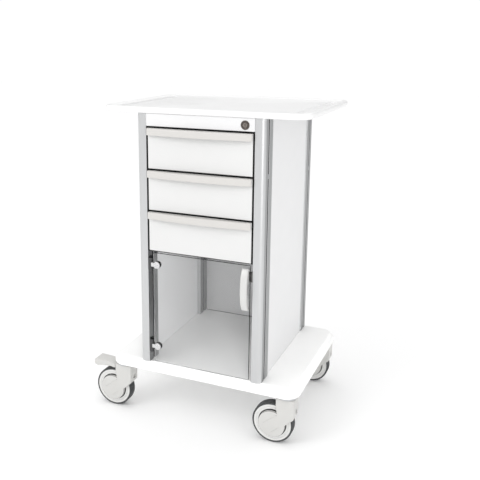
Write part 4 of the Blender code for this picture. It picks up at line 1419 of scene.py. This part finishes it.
    def pedal(self, corner: str) -> None:
        """Makes a brake pedal, rounded like a tongue, with a bore for its pin."""
        low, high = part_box(f"brake_pedal_{corner}")
        middle = self.centre(corner)
        _, fork_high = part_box(f"caster_fork_{corner}")
        mount_low, mount_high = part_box(f"caster_mount_{corner}")
        left = (mount_low.x + mount_high.x) / 2 - middle.x - self.head_half
        pivot = Vector((middle.x + left + self.pedal_in, middle.y, fork_high.z - self.pedal_down))
        tip, root, half = low.x - pivot.x, self.pedal_root, (high.y - low.y) / 2
        outline = [
            *arc(0, 0, root, -90, 90, 12), (-0.014, root + 0.001), (-0.030, 0.0105),
            (tip + 0.010, 0.0125), (tip + 0.003, 0.011), (tip, 0.006), (tip + 0.001, -0.004),
            (tip + 0.010, -0.010), (tip + 0.028, -0.007), (-0.026, -0.004), (-0.016, -root),
        ]
        pedal = Shape.prism(smooth_loop(outline, 3), -half, half, Facing.ALONG_Y).named(
            f"caster_{corner}_pedal")
        edge = -self.pedal_in - self.pedal_step
        cutters = []
        for side in (-1, 1):
            ys = sorted((side * self.pedal_root_width / 2, side * half * 2))
            cutters.append(Shape.box((edge, ys[0], -0.03), (0.03, ys[1], 0.03)))
        cutters.append(Shape.spun([(self.pedal_pin + self.pin_room, -half - 0.01),
                                   (self.pedal_pin + self.pin_room, half + 0.01)], 24, Facing.ALONG_Y))
        cut(pedal, *cutters)
        soften(pedal, 0.0016, 3, 45)
        pedal.data.transform(Matrix.Translation(pivot))
        self.settle(pedal, f"brake_{corner}", CASTER_GREY, [f"brake_pedal_{corner}"], 40)


# ---------------------------------------------------------------- stage
@dataclass
class Studio:
    """The floor, the lights and the camera."""

    place: tuple[float, float, float] = (0.8349, -2.0249, 1.1859)
    yaw: float = 24.21
    pitch: float = 12.79
    lens: float = 52.2375
    shift_x: float = 0.08625
    shift_y: float = -0.0916667
    sensor: float = 36.0
    floor_half: float = 14.0
    floor_tone: float = 0.98
    floor_roughness: float = 0.9
    room_strength: float = 1.03
    glossy_strength: float = 1.6

    def camera(self) -> None:
        """Puts the camera where the object is seen from."""
        data = bpy.data.cameras.new("camera")
        data.sensor_width = self.sensor
        data.lens = self.lens
        data.shift_x = self.shift_x
        data.shift_y = self.shift_y
        camera = bpy.data.objects.new("camera", data)
        camera.location = self.place
        camera.rotation_euler = (math.radians(90 - self.pitch), 0.0, math.radians(self.yaw))
        bpy.context.scene.collection.objects.link(camera)
        bpy.context.scene.camera = camera

    def floor(self) -> None:
        """Lays the floor."""
        half = self.floor_half
        floor = Shape.box((-half, -half, -0.02), (half, half, 0.0)).named("studio_floor")
        material = bpy.data.materials.new("studio_white")
        material.use_nodes = True
        shader = material.node_tree.nodes["Principled BSDF"]
        shader.inputs["Base Color"].default_value = (*(self.floor_tone,) * 3, 1.0)
        shader.inputs["Roughness"].default_value = self.floor_roughness
        floor.data.materials.append(material)

    def light(self, name: str, place: Sequence[float], target: Sequence[float], size: float,
              power: float, only: Sequence[bpy.types.Object] = ()) -> None:
        """Hangs one soft lamp.

        Args:
            name: The lamp's name.
            place: Where it hangs.
            target: The point that it looks at.
            size: Its width.
            power: Its power in watts.
            only: The pieces that it lights, or none for everything.
        """
        data = bpy.data.lights.new(name, "AREA")
        data.shape = "DISK"
        data.size = size
        data.energy = power
        lamp = bpy.data.objects.new(name, data)
        lamp.location = place
        aim = Vector(target) - Vector(place)
        lamp.rotation_euler = aim.to_track_quat("-Z", "Y").to_euler()
        bpy.context.scene.collection.objects.link(lamp)
        if only:
            lit = bpy.data.collections.new(f"{name}_lights")
            for piece in only:
                lit.objects.link(piece)
            lamp.light_linking.receiver_collection = lit

    def room(self) -> None:
        """A white room whose far side is dark to polished and drawn metal."""
        world = bpy.data.worlds.new("studio")
        world.use_nodes = True
        graph = Graph(world.node_tree)
        white = graph.add("Background")
        graph.put(white, "Strength", self.room_strength)
        graph.put(white, "Color", (1.0, 1.0, 1.0, 1.0))
        way = graph.add("SeparateXYZ")
        graph.put(way, 0, graph.add("TexCoord").outputs["Generated"])
        ramp = graph.add("ValToRGB")
        stops = [(0.0, 0.58), (0.30, 0.60), (0.42, 0.95), (0.52, 0.65), (0.60, 0.10), (1.0, 0.06)]
        while len(ramp.color_ramp.elements) < len(stops):
            ramp.color_ramp.elements.new(1.0)
        for element, (place, tone) in zip(ramp.color_ramp.elements, stops):
            element.position = place
            element.color = (tone, tone, tone, 1.0)
        low = graph.remap(way.outputs["Z"], 0.05, 0.30, 1.0, 0.0)
        depth = graph.math("MULTIPLY", way.outputs["Y"], low)
        graph.put(ramp, 0, graph.remap(depth, -1.0, 1.0, 0.0, 1.0))
        flags = graph.add("Background")
        graph.put(flags, "Strength", self.glossy_strength)
        graph.put(flags, "Color", ramp.outputs[0])
        mix = graph.add("MixShader")
        graph.put(mix, 0, graph.add("LightPath").outputs["Is Glossy Ray"])
        graph.put(mix, 1, white.outputs[0])
        graph.put(mix, 2, flags.outputs[0])
        graph.put(graph.add("OutputWorld"), "Surface", mix.outputs[0])
        bpy.context.scene.world = world

    def build(self) -> None:
        """Sets up the whole stage."""
        self.camera()
        self.floor()
        self.room()
        bpy.context.scene.view_settings.view_transform = "Standard"
        middle = (0.0, 0.0, 0.5)
        self.light("key", (-1.6, -2.6, 2.8), middle, 1.8, 26.0)
        self.light("fill", (1.9, -2.6, 0.9), middle, 1.2, 12.0)
        inside = [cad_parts["side_panel_left"], bpy.data.objects["base_moulding"]]
        self.light("compartment", (1.5, -2.8, 1.3), (0.0, 0.0, 0.35), 0.9, 52.0, inside)


def main() -> None:
    """Builds every sub-assembly in order."""
    logging.basicConfig(level=logging.INFO, format="%(name)s: %(message)s")
    for part in (Worktop(), Base(), Cabinet(), Drawers(), Lock(), Door(), Casters()):
        part.build()
        log.info("built %s", type(part).__name__)
    Studio().build()


if __name__ == "__main__":
    main()
